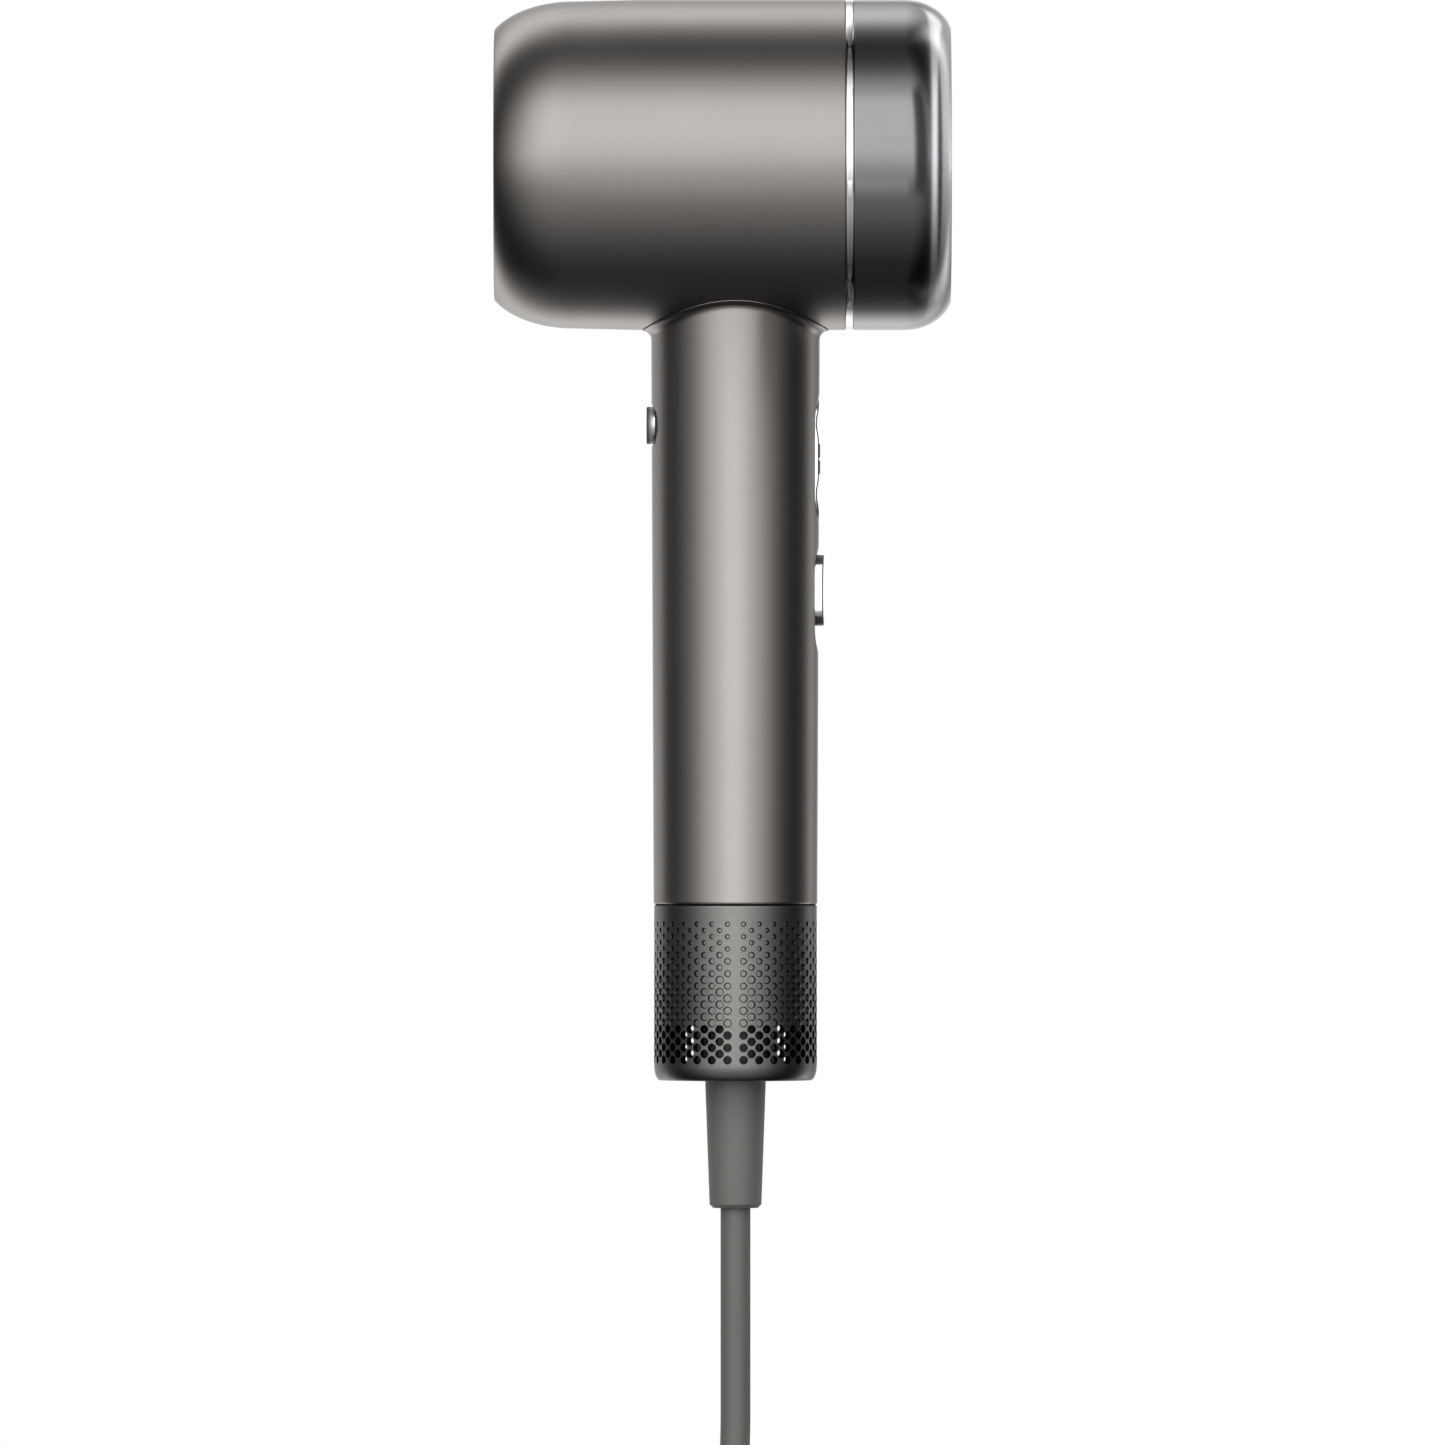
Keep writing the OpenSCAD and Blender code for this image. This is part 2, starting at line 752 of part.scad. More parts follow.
module heater_frame() {
    color(mica) difference() {
        along_barrel() translate([0, 0, heater_x + heater_len / 2]) {
            cube([2 * heater_half, board_t, heater_len], center = true);
            cube([board_t, 2 * heater_half, heater_len], center = true);
        }
        for (row_r = wire_rows, i = [0:wires - 1])
            wire_loop(row_r, wire_x + i * wire_pitch, wire_r + fit_gap);
    }
}

module heater_coils() {
    color(silver) for (row_r = wire_rows, i = [0:wires - 1])
        wire_loop(row_r, wire_x + i * wire_pitch, wire_r);
}

// A round bimetal switch on the side of the upright board
module thermal_cutout() {
    color(silver)
        translate([heater_x + heater_len - cutout_inset, board_t / 2 + glue_gap, barrel_r + cutout_z])
            rotate([-90, 0, 0]) {
                cylinder(r = cutout_r, h = cutout_h);
                cylinder(r = cutout_cap_r, h = cutout_cap_h);
            }
}

// A glass bead with two leads along the upright board
module thermistor() {
    lead_x = bead_x + bead_len - stem_sink;
    color(black_plastic)
        translate([heater_x, board_t / 2 + bead_r + glue_gap, barrel_r + bead_z]) {
            translate([bead_x, 0, 0]) rotate([0, 90, 0]) cylinder(r = bead_r, h = bead_len);
            for (side = [-1, 1])
                translate([lead_x, 0, side * bead_lead_gap / 2]) rotate([0, 90, 0])
                    cylinder(r = bead_lead_r, h = heater_len - lead_x);
        }
}

// --------------------------------------------------------------- the neck

module neck_duct() {
    color(black_plastic) difference() {
        union() {
            translate([0, 0, ledge_z - glue_gap]) cylinder(r = neck_r, h = barrel_r / 2 - ledge_z);
            translate([0, 0, ledge_z - collar_len]) cylinder(r = insert_r, h = collar_len - glue_gap);
        }
        translate([0, 0, ledge_z - collar_len - past])
            cylinder(r = neck_bore_r, h = barrel_r + collar_len);
        along_barrel() rotate_extrude() guide_outline(sleeve_ring_r + glue_gap, 2 * guide_x);
    }
}

module neck_nut() {
    color(silver) translate([0, 0, nut_z]) ring(nut_r, neck_r + glue_gap, nut_top_z - nut_z);
}

// ----------------------------------------------------------------- handle

// Height of the barrel's surface above its lowest line, at a place on the neck's edge
function saddle(r, angle) = barrel_r - sqrt(pow(barrel_r, 2) - pow(r * sin(angle), 2));

// The fillet between the handle and the barrel. Its section is a quarter circle,
// carried up and down round the handle with the barrel's curve.
module neck_flare() {
    sides = 48;
    steps = 7;
    flare_r = handle_top_r + neck_fillet;
    root_r = handle_top_r - flare_sink;
    section = concat(
        [[root_r - past, flare_top], [flare_r, flare_top]],
        [for (i = [0:steps]) let (f = 84 * i / steps)
            [flare_r - neck_fillet * sin(f), neck_fillet * (cos(f) - 1)]],
        [[root_r, -1.25 * neck_fillet], [root_r - past, -1.25 * neck_fillet]]);
    n = len(section);
    points = [for (s = [0:sides - 1], p = section) let (a = 360 * s / sides)
        [p[0] * cos(a), p[0] * sin(a), saddle(flare_r, a) + p[1]]];
    faces = [for (s = [0:sides - 1], i = [0:n - 1]) let (t = (s + 1) % sides, j = (i + 1) % n)
        [s * n + i, s * n + j, t * n + j, t * n + i]];
    polyhedron(points = points, faces = faces, convexity = 4);
}

module handle_shell() {
    top = saddle(handle_top_r + neck_fillet, 90) + past;
    color(titanium) difference() {
        union() {
            rotate_extrude() polygon([[0, handle_end], [handle_end_r, handle_end],
                [handle_top_r, 0], [handle_top_r, top], [0, top]]);
            neck_flare();
        }
        along_barrel() cylinder(r = barrel_r + barrel_seam, h = 4 * handle_top_r, center = true);
        translate([0, 0, handle_end - past]) cylinder(r = handle_bore_r, h = ledge_z - handle_end + past);
        translate([0, 0, ledge_z - past]) cylinder(r = neck_r + fit_gap, h = barrel_r);
        milled_space(pad_flat_top, pad_flat_end, flat_x);
        milled_space(slider_flat_top, slider_flat_end, flat_x);
        for (z = button_z)
            across_handle(flange_in_x, z) cylinder(r = button_hole_r, h = cut_len);
        slider_slot();
        scoop_space();
        across_handle(-handle_top_r - past, -cool_z) cylinder(r = cool_hole_r, h = cut_len);
    }
}

// Space of the round scoop that bares the cool button's sides
module scoop_space() {
    translate([-scoop_x - scoop_cutter_r, 0, -cool_z]) rotate([90, 0, 0])
        cylinder(r = scoop_cutter_r, h = 2 * handle_top_r, center = true);
}

// The shallow pocket that the slider's knob runs in, and the slot for its stem. The knob
// hides the slot at both ends of its travel.
module slider_slot() {
    translate([pocket_x, 0, -slider_z - slider_travel / 2]) rotate([0, 90, 0]) rotate(90)
        linear_extrude(cut_len)
            stadium(slider_w + 2 * run_gap, slider_len + slider_travel + 2 * run_gap);
    top = -slider_z + slider_stem / 2 + run_gap;
    bottom = -slider_z - slider_stem / 2 - slider_travel - run_gap;
    half = slider_stem_w / 2 + run_gap;
    box([flange_in_x, -half, bottom], [handle_top_r + past, half, top]);
}

module board_carrier() {
    board_end = carrier_end + board_inset;
    cool_half = cool_pcb_len / 2;
    color(black_plastic) difference() {
        union() {
            translate([0, 0, carrier_end]) ring(insert_r, carrier_in_r, carrier_top - carrier_end);
            intersection() {
                translate([0, 0, carrier_end])
                    cylinder(r = insert_r - glue_gap, h = carrier_top - carrier_end);
                for (flip = [0, 1]) mirror([0, flip, 0]) {
                    box([pcb_x - ledge_t, pcb_half - ledge_lap, board_end],
                        [pcb_x - glue_gap, insert_r, carrier_top - board_drop]);
                    box([-cool_pcb_x + glue_gap, cool_pcb_half - cool_ledge_lap, -cool_z - cool_half],
                        [-cool_pcb_x + ledge_t, insert_r, -cool_z + cool_half]);
                }
            }
        }
        box([flange_in_x - window_depth, -window_half, carrier_end + window_end_gap],
            [insert_r + past, window_half, carrier_top - window_top_gap]);
        box([-insert_r - past, -window_half, -cool_z - cool_window],
            [-flange_in_x + window_depth, window_half, -cool_z + cool_window]);
    }
}

module control_board() {
    color(board_green) box([pcb_x, -pcb_half, carrier_end + board_inset],
        [pcb_top_x, pcb_half, carrier_top - board_drop]);
}

// Capacitor, choke and power semiconductors on the board's inner side
module board_components() {
    back = pcb_x - glue_gap;
    low = carrier_end + board_inset;
    color(charcoal) {
        translate([back - capacitor_r, -capacitor_r, low]) cylinder(r = capacitor_r, h = capacitor_len);
        translate([back, choke_r + past / 2, low + choke_r]) rotate([0, -90, 0])
            cylinder(r = choke_r, h = choke_h);
        box([back - triac_h, -triac_w / 2, -pad_z - pad_len / 2 - triac_len],
            [back, triac_w / 2, -pad_z - pad_len / 2]);
        box([back - chip_h, -chip_w / 2, -pad_z - chip_len / 2],
            [back, chip_w / 2, -pad_z + chip_len / 2]);
    }
}

module power_switch() {
    top = -slider_z + power_switch_end;
    bottom = -slider_z - slider_travel - power_switch_end;
    half = lever_len / 2 + run_gap;
    color(black_plastic) difference() {
        box([pcb_top_x + glue_gap, -power_switch_w / 2, bottom],
            [pcb_top_x + switch_h, power_switch_w / 2, top]);
        box([pcb_top_x + power_switch_floor, -lever_w / 2 - run_gap, -slider_z - slider_travel - half],
            [pcb_top_x + switch_h + past, lever_w / 2 + run_gap, -slider_z + half]);
    }
}

module switch_lever() {
    color(silver)
        box([pcb_top_x + power_switch_floor + run_gap, -lever_w / 2, -slider_z - lever_len / 2],
            [foot_x + lever_h, lever_w / 2, -slider_z + lever_len / 2]);
}

module power_slider() {
    base_x = pocket_x + knob_gap;
    top_x = flat_x + slider_h;
    dish_r = (pow(slider_len / 2, 2) + pow(slider_dish, 2)) / (2 * slider_dish);
    socket_half = lever_len / 2 + glue_gap;
    color(silver) difference() {
        union() {
            difference() {
                translate([base_x, 0, -slider_z]) rotate([0, 90, 0]) rotate(90)
                    linear_extrude(top_x - base_x) stadium(slider_w, slider_len);
                translate([top_x - slider_dish + dish_r, 0, -slider_z]) rotate([90, 0, 0])
                    cylinder(r = dish_r, h = 2 * slider_w, center = true, $fn = 360);
            }
            box([foot_x, -slider_stem_w / 2, -slider_z - slider_stem / 2],
                [base_x + knob_lap, slider_stem_w / 2, -slider_z + slider_stem / 2]);
            box([foot_x, -foot_w / 2, -slider_z - foot_len / 2],
                [foot_x + foot_t, foot_w / 2, -slider_z + foot_len / 2]);
        }
        box([foot_x - past, -lever_w / 2 - glue_gap, -slider_z - socket_half],
            [foot_x + lever_h + glue_gap, lever_w / 2 + glue_gap, -slider_z + socket_half]);
    }
}

// Outline of the pad seen along +Y: level ends and middle, with a dip at each button
module pad_wave(inner_x) {
    steps = 12;
    dips = [for (side = [1, 0], i = [0:steps])
        let (d = pad_dip_len * (1 - 2 * i / steps), z = button_z[side] + d)
        [pad_top_x - pad_dip * (1 + cos(180 * d / pad_dip_len)) / 2, z]];
    top = -pad_z + pad_len / 2;
    bottom = -pad_z - pad_len / 2;
    polygon(concat([[inner_x, top], [pad_top_x, top]], dips,
        [[pad_top_x, bottom], [inner_x, bottom]]));
}

module control_pad() {
    color(silver) difference() {
        intersection() {
            rotate([90, 0, 0]) linear_extrude(2 * pad_w, center = true) pad_wave(flat_x);
            milled_space(pad_flat_top, pad_flat_end, flat_x + glue_gap);
            translate([flat_x - past, 0, -pad_z]) rotate([0, 90, 0]) rotate(90)
                linear_extrude(cut_len) stadium(pad_w, pad_len);
        }
        for (z = button_z)
            across_handle(flat_x - past, z) cylinder(r = button_hole_r, h = cut_len);
    }
}

// One pad button: a dished cap, a flange that holds it in, and a stem on its switch
module pad_button_body(z) {
    intersection() {
        rotate([90, 0, 0]) linear_extrude(2 * pad_w, center = true) pad_wave(flange_in_x);
        across_handle(flange_in_x, z) cylinder(r = pad_button_r, h = cut_len);
    }
    across_handle(flange_in_x, z)
        cylinder(r = pad_button_r + button_flange_w, h = button_flange_t);
    across_handle(stem_foot_x, z) cylinder(r = stem_r, h = flange_in_x + stem_sink - stem_foot_x);
}

module speed_button() {
    color(silver) pad_button_body(button_z[1]);
}

module heat_button() {
    color(silver) pad_button_body(button_z[0]);
}

module indicator_lenses() {
    color(charcoal) for (side = [-1, 1])
        translate([pad_top_x, 0, -pad_z + side * (lens_len + lens_gap) / 2])
            box([0, -lens_w / 2, -lens_len / 2], [lens_t, lens_w / 2, lens_len / 2]);
}

// A square push switch with a round well for the button's stem
module push_switch(h) {
    difference() {
        box([-switch_w / 2, -switch_w / 2, 0], [switch_w / 2, switch_w / 2, h]);
        translate([0, 0, h - switch_well]) cylinder(r = stem_r + well_gap, h = switch_well + past);
    }
}

module tact_switches() {
    color(black_plastic) for (z = button_z)
        across_handle(pcb_top_x + glue_gap, z) push_switch(switch_h);
}

module cool_board() {
    color(board_green) box([-cool_pcb_top, -cool_pcb_half, -cool_z - cool_pcb_len / 2],
        [-cool_pcb_x, cool_pcb_half, -cool_z + cool_pcb_len / 2]);
}

module cool_switch() {
    color(black_plastic) translate([-cool_pcb_top - glue_gap, 0, -cool_z]) rotate([0, -90, 0])
        push_switch(cool_switch_h);
}

// Rubber ring in the cool button's hole, standing a little proud of the scoop
module cool_seal() {
    color(charcoal) translate([-scoop_x + seal_depth, 0, -cool_z]) rotate([0, -90, 0])
        ring(cool_hole_r - glue_gap, cool_r + fit_gap, seal_depth + seal_h);
}

module cool_button() {
    h = cool_face_x - flange_in_x;
    color(silver) translate([-flange_in_x, 0, -cool_z]) rotate([0, -90, 0]) {
        rotate_extrude() polygon([[0, 0], [cool_r + cool_flange_w, 0],
            [cool_r + cool_flange_w, button_flange_t], [cool_r, button_flange_t],
            [cool_r, h - cool_edge], [cool_flat_r, h], [0, h]]);
        translate([0, 0, -cool_stem]) cylinder(r = stem_r, h = cool_stem + stem_sink);
    }
}

// ------------------------------------------------------------------ motor

// A curved blade standing out along +X. Its section is a thin arc from below to above.
module blade(root_r, tip_r, h, sweep, t) {
    steps = 6;
    line = [for (i = [0:steps]) let (u = i / steps)
        [sweep * (u - 0.5) + blade_bow * sin(180 * u), h * u]];
    rotate([90, 0, 90]) translate([0, 0, root_r]) linear_extrude(tip_r - root_r)
        polygon(concat([for (p = line) [p[0] - t / 2, p[1]]],
            [for (p = reversed(line)) [p[0] + t / 2, p[1]]]));
}

module motor_housing() {
    cavity_end = hub_end + bearing_inset + bearing_h;
    cavity_top = hub_top - bearing_inset - bearing_h;
    color(silver) difference() {
        union() {
            translate([0, 0, motor_end]) ring(motor_r, housing_in_r, motor_len);
            translate([0, 0, hub_end]) cylinder(r = hub_r, h = hub_len);
            intersection() {
                translate([0, 0, hub_end]) cylinder(r = housing_in_r + glue_gap, h = hub_len);
                for (i = [0:vanes - 1]) rotate([0, 0, 360 * i / vanes])
                    translate([0, 0, hub_end + past])
                        blade(hub_r - hub_wall / 2, motor_r, vane_len, vane_sweep, vane_t);
            }
        }
        translate([0, 0, cavity_end]) cylinder(r = hub_r - hub_wall, h = cavity_top - cavity_end);
        translate([0, 0, hub_end - past])
            cylinder(r = shaft_r + shaft_hole_gap, h = hub_len + 2 * past);
        for (z = [cavity_end - bearing_h, cavity_top])
            translate([0, 0, z]) cylinder(r = bearing_r + press_gap, h = bearing_h + bearing_play);
    }
}

module motor_bearings() {
    top_z = hub_top - bearing_inset - bearing_h + bearing_play;
    color(chrome) for (z = [hub_end + bearing_inset, top_z])
        translate([0, 0, z + glue_gap]) ring(bearing_r, shaft_r + shaft_run, bearing_h - glue_gap);
}

module motor_mounts() {
    color(black_plastic) for (z = [motor_end + mount_inset, motor_top - mount_h - mount_inset])
        translate([0, 0, z]) difference() {
            cylinder(r = handle_bore_r - glue_gap, h = mount_h);
            translate([0, 0, -past]) cylinder(r = motor_r + glue_gap, h = mount_h + 2 * past);
            for (a = [0:30:330]) rotate([0, 0, a]) translate([handle_bore_r, 0, -past])
                cylinder(r = mount_groove_r, h = mount_h + 2 * past);
        }
}

module motor_stator() {
    outer = hub_r - hub_wall - glue_gap;
    color(charcoal) translate([0, 0, stator_mid - stator_len / 2]) {
        ring(outer, outer - yoke_w, stator_len);
        difference() {
            for (a = [0:60:300]) rotate([0, 0, a])
                translate([0, -tooth_w / 2, 0]) cube([outer - yoke_w / 2, tooth_w, stator_len]);
            translate([0, 0, -past]) cylinder(r = stator_bore_r, h = stator_len + 2 * past);
        }
    }
}

module stator_coils() {
    inner = stator_bore_r + run_gap;
    outer = hub_r - hub_wall - yoke_w - run_gap;
    low = stator_mid - stator_len / 2;
    high = stator_mid + stator_len / 2;
    half = tooth_w / 2 + glue_gap;
    color(copper) for (a = [0:60:300]) rotate([0, 0, a]) difference() {
        box([inner, -coil_w / 2, low - coil_end], [outer, coil_w / 2, high + coil_end]);
        box([0, -half, low - glue_gap], [hub_r, half, high + glue_gap]);
    }
}

module rotor_shaft() {
    bottom = impeller_top - impeller_h + impeller_floor;
    color(chrome) translate([0, 0, bottom]) cylinder(r = shaft_r, h = hub_top - shaft_drop - bottom);
}

module rotor_magnet() {
    color(charcoal) translate([0, 0, stator_mid - stator_len / 2])
        ring(rotor_r, shaft_r + shaft_press, stator_len);
}

module impeller() {
    bottom = impeller_top - impeller_h;
    nose = [for (f = [0:15:90])
        [impeller_hub_r * cos(f), bottom + impeller_nose * (1 - sin(f))]];
    color(silver) difference() {
        union() {
            rotate_extrude()
                polygon(concat([[0, impeller_top], [impeller_hub_r, impeller_top]], nose));
            intersection() {
                translate([0, 0, bottom]) cylinder(r = blade_tip_r, h = impeller_h);
                for (i = [0:blades - 1]) rotate([0, 0, 360 * i / blades])
                    translate([0, 0, impeller_top - blade_drop - blade_h])
                        blade(impeller_hub_r - past, housing_in_r, blade_h, blade_sweep, blade_t);
            }
        }
        translate([0, 0, bottom + impeller_floor]) cylinder(r = shaft_r + shaft_press, h = impeller_h);
    }
}

module motor_board() {
    color(board_green) translate([0, 0, hub_top + glue_gap])
        cylinder(r = hub_r - hub_wall, h = motor_board_t);
}

// ------------------------------------------------------------------ inlet

// A ring with four spokes that joins the core to the handle
module intake_core() {
    height = core_top - core_collar_end;
    color(charcoal) difference() {
        union() {
            translate([0, 0, core_collar_end]) ring(insert_r, core_ring_r, height);
            translate([0, 0, sleeve_end]) cylinder(r = core_r, h = core_top - sleeve_end);
            for (a = [45:90:315]) rotate([0, 0, a])
                box([core_r - past, -spoke_w / 2, core_collar_end],
                    [core_ring_r + past, spoke_w / 2, core_top]);
        }
        translate([0, 0, core_floor_top]) cylinder(r = core_bore_r, h = core_top - core_floor_top + past);
        translate([0, 0, sleeve_end - past]) cylinder(r = socket_r, h = socket_top - sleeve_end + past);
        translate([0, 0, sleeve_end]) cylinder(r = cord_r + fit_gap, h = core_floor_top - sleeve_end + past);
        for (a = [0:90:270]) rotate([0, 0, a])
            translate([(insert_r + core_ring_r) / 2, 0, core_collar_end - past])
                cylinder(r = cover_magnet_r + glue_gap, h = cover_magnet_h + past);
    }
}

module cover_magnets() {
    color(silver) for (a = [0:90:270]) rotate([0, 0, a])
        translate([(insert_r + core_ring_r) / 2, 0, core_collar_end])
            cylinder(r = cover_magnet_r, h = cover_magnet_h - glue_gap);
}

// Fine guard over the motor's inlet, lying on the core's ring
module inlet_guard() {
    step = (insert_r - core_bore_r) / guard_rings;
    color(silver) translate([0, 0, core_top + glue_gap]) linear_extrude(guard_t) {
        for (i = [0:guard_rings]) difference() {
            circle(r = core_bore_r + i * step);
            circle(r = core_bore_r + i * step - guard_bar);
        }
        for (a = [0:30:330]) rotate(a) translate([core_bore_r - guard_bar, -guard_bar / 2])
            square([insert_r - core_bore_r, guard_bar]);
    }
}

// Rows of drilled holes. Odd half columns carry odd rows, and the four ribs stay plain.
module inlet_holes() {
    for (c = [0:inlet_columns - 1], row = [0:inlet_rows - 1])
        if ((c + row) % 2 == 1 && c % (inlet_columns / 4) != 0)
            rotate([0, 0, -90 + 360 * c / inlet_columns])
                translate([sleeve_in_r - past, 0, sleeve_end + inlet_base + row * inlet_pitch])
                    rotate([0, 90, 0]) cylinder(r = inlet_hole_r, h = sleeve_wall + 2 * past, $fn = 24);
}

module filter_cover() {
    core_hole_r = core_r + run_gap;
    edge = [for (f = [0:15:90])
        [sleeve_r - foot_edge_w + foot_edge_w * sin(f), sleeve_end + foot_edge_h - foot_edge_h * cos(f)]];
    color(charcoal) difference() {
        rotate_extrude() polygon(concat(
            [[core_hole_r, sleeve_end]], edge,
            [[sleeve_r, sleeve_top], [sleeve_in_r, sleeve_top],
                [sleeve_in_r, sleeve_end + foot_edge_h],
                [sleeve_r - foot_edge_w - sleeve_wall, sleeve_end + sleeve_floor],
                [core_hole_r, sleeve_end + sleeve_floor]]));
        inlet_holes();
    }
}

// Steel ring that the magnets hold
module cover_ring() {
    color(silver) translate([0, 0, core_collar_end - run_gap - cover_ring_t])
        ring(sleeve_in_r - glue_gap, core_ring_r, cover_ring_t);
}

// ------------------------------------------------------------- cord entry

module cable_clamp() {
    color(black_plastic) translate([0, 0, core_floor_top + glue_gap]) difference() {
        cylinder(r = core_bore_r - fit_gap, h = clamp_h);
        translate([0, 0, -past]) cylinder(r = cord_r + glue_gap, h = clamp_h + 2 * past);
        box([-core_r, -clamp_slot / 2, -past], [core_r, clamp_slot / 2, clamp_h + past]);
        for (side = [-1, 1]) translate([side * clamp_screw_x, 0, clamp_h / 2]) rotate([90, 0, 0])
            cylinder(r = clamp_screw_r + glue_gap, h = 2 * core_r, center = true);
    }
}

module clamp_screws() {
    color(silver) for (side = [-1, 1])
        translate([side * clamp_screw_x, 0, core_floor_top + glue_gap + clamp_h / 2])
            rotate([90, 0, 0]) cylinder(r = clamp_screw_r, h = clamp_screw_len, center = true);
}

module strain_relief() {
    color(cord_grey) rotate_extrude() polygon([[cord_r + glue_gap, relief_end],
        [relief_tip_r - relief_edge, relief_end], [relief_tip_r, relief_end + relief_edge],
        [relief_top_r, sleeve_end - glue_gap], [socket_r - fit_gap, sleeve_end - glue_gap],
        [socket_r - fit_gap, socket_top - glue_gap], [cord_r + glue_gap, socket_top - glue_gap]]);
}

// The cord inside the strain relief and the core
module cord_inner() {
    color(cord_grey) translate([0, 0, relief_end])
        cylinder(r = cord_r, h = clamp_top + cord_end_len - relief_end);
}

// ------------------------------------------------------------------- cord

// Direction along a route at one of its points
function heading(route, i) =
    let (d = route[min(i + 1, len(route) - 1)] - route[max(i - 1, 0)]) d / norm(d);

// A tube swept along a route. Each ring stands square to the route, and its first
// corner lies towards the given direction, so that the rings don't twist.
module cord_tube(route, r, towards) {
    sides = 8;
    n = len(route);
    points = [for (i = [0:n - 1]) let (d = heading(route, i),
            raw = towards - (towards * d) * d, side = raw / norm(raw), up = cross(side, d))
        for (k = [0:sides - 1]) let (a = 360 * (k + 0.5) / sides)
            route[i] + r * (cos(a) * side + sin(a) * up)];
    walls = [for (i = [0:n - 2], k = [0:sides - 1], half = [0, 1])
        let (m = (k + 1) % sides, a = i * sides, b = (i + 1) * sides)
        half == 0 ? [a + k, a + m, b + m] : [a + k, b + m, b + k]];
    ends = [[for (k = [sides - 1:-1:0]) k], [for (k = [0:sides - 1]) (n - 1) * sides + k]];
    polyhedron(points = points, faces = concat(walls, ends), convexity = 6);
}

module cord_lead() {
    color(cord_grey) cord_tube(lead_route, cord_r, [1, -1, 0]);
}

// Outer shape of the coil: four turns side by side, in two layers
module coil_section(grow) {
    low = coil_z - cord_r - grow;
    inner = coil_in_r - cord_r - grow;
    translate([inner, low])
        square([coil_out_r + cord_r + grow - inner, coil_turn + cord_d + 2 * grow]);
}

module cord_coil() {
    color(cord_grey) translate([coil_centre[0], coil_centre[1], 0]) rotate_extrude() coil_section(0);
}

module cord_tail() {
    color(cord_grey) cord_tube(tail_route, cord_r, [0, 0, 1]);
}

module cord_tie() {
    color(black_plastic) translate([coil_centre[0], coil_centre[1], 0])
        rotate([0, 0, tie_at - tie_angle / 2]) rotate_extrude(angle = tie_angle) difference() {
            coil_section(glue_gap + tie_t);
            coil_section(glue_gap);
        }
}

// ------------------------------------------------------------------- plug

// Two round pins side by side, a flat body, and a tapered boot that the cord runs into
module plug_body() {
    color(black_plastic) difference() {
        translate([plug_x, 0, plug_z]) {
            hull() {
                translate([0, plug_face_y + plug_body_len, 0]) rotate([90, 0, 0]) rotate(90)
                    linear_extrude(plug_body_len) stadium(plug_height, plug_width, $fn = 32);
                translate([0, plug_rear_y - boot_len, 0]) rotate([90, 0, 0])
                    cylinder(r = boot_r, h = past, $fn = 32);
            }
            translate([0, plug_rear_y - boot_len - boot_lap, 0]) rotate([-90, 0, 0])
                cylinder(r1 = boot_r - boot_step, r2 = boot_tip_r, h = boot_len + boot_lap);
        }
        for (side = [-1, 1])
            translate([plug_x + side * pin_spacing / 2, plug_face_y - past, plug_z])
                rotate([-90, 0, 0]) cylinder(r = pin_root_r + press_gap, h = pin_root + past);
    }
}

// Each pin has a slimmer root that is moulded into the body
module plug_pins() {
    root = pin_root - glue_gap;
    color(chrome) for (side = [-1, 1])
        translate([plug_x + side * pin_spacing / 2, plug_face_y, plug_z]) rotate([90, 0, 0]) {
            translate([0, 0, -root]) cylinder(r = pin_root_r, h = root + pin_tip);
            cylinder(r = pin_r, h = pin_len - pin_tip);
            translate([0, 0, pin_len - pin_tip])
                cylinder(r1 = pin_r, r2 = pin_r - pin_tip_cut, h = pin_tip);
        }
}

head_shell();
trim_ring();
rear_cap();
rear_panel();
cap_screws();
outlet_ring();
nozzle_magnet();
outlet_grille();
ion_emitter();
ion_module();
air_guide();
heater_tube();
heater_frame();
heater_coils();
thermal_cutout();
thermistor();
neck_duct();
neck_nut();
handle_shell();
board_carrier();
control_board();
board_components();
power_switch();
switch_lever();
power_slider();
control_pad();
speed_button();
heat_button();
indicator_lenses();
tact_switches();
cool_board();
cool_switch();
cool_seal();
cool_button();
motor_housing();
motor_mounts();
motor_stator();
stator_coils();
motor_bearings();
rotor_shaft();
rotor_magnet();
impeller();
motor_board();
inlet_guard();
intake_core();
cover_magnets();
filter_cover();
cover_ring();
cable_clamp();
clamp_screws();
strain_relief();
cord_inner();
cord_lead();
cord_coil();
cord_tail();
cord_tie();
plug_body();
plug_pins();
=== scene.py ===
# A compact hair dryer: round metal barrel, slim handle with its motor inside, perforated
# air inlet at the foot, and a mains cord. Lengths are worked out in millimetres, and the
# meshes are in metres.

import bpy
import numpy as np
from mathutils import Matrix


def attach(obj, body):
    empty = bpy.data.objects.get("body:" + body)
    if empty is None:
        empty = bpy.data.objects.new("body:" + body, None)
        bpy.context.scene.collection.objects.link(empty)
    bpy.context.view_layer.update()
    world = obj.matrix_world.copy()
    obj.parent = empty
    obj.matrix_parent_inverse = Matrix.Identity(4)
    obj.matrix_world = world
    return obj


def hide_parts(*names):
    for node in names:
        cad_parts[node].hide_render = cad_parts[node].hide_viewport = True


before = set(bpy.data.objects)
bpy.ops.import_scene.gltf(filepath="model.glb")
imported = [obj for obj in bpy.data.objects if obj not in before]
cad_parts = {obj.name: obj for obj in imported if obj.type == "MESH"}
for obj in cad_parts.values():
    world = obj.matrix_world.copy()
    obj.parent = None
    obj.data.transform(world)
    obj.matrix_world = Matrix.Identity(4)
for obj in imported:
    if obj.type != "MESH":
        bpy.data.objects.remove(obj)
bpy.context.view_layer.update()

# ------------------------------------------------------------------ viewpoint
# The dryer is seen square on from its left side, from far enough away that its
# edges stay parallel. The cord runs out of view at the bottom.
MM = 0.001
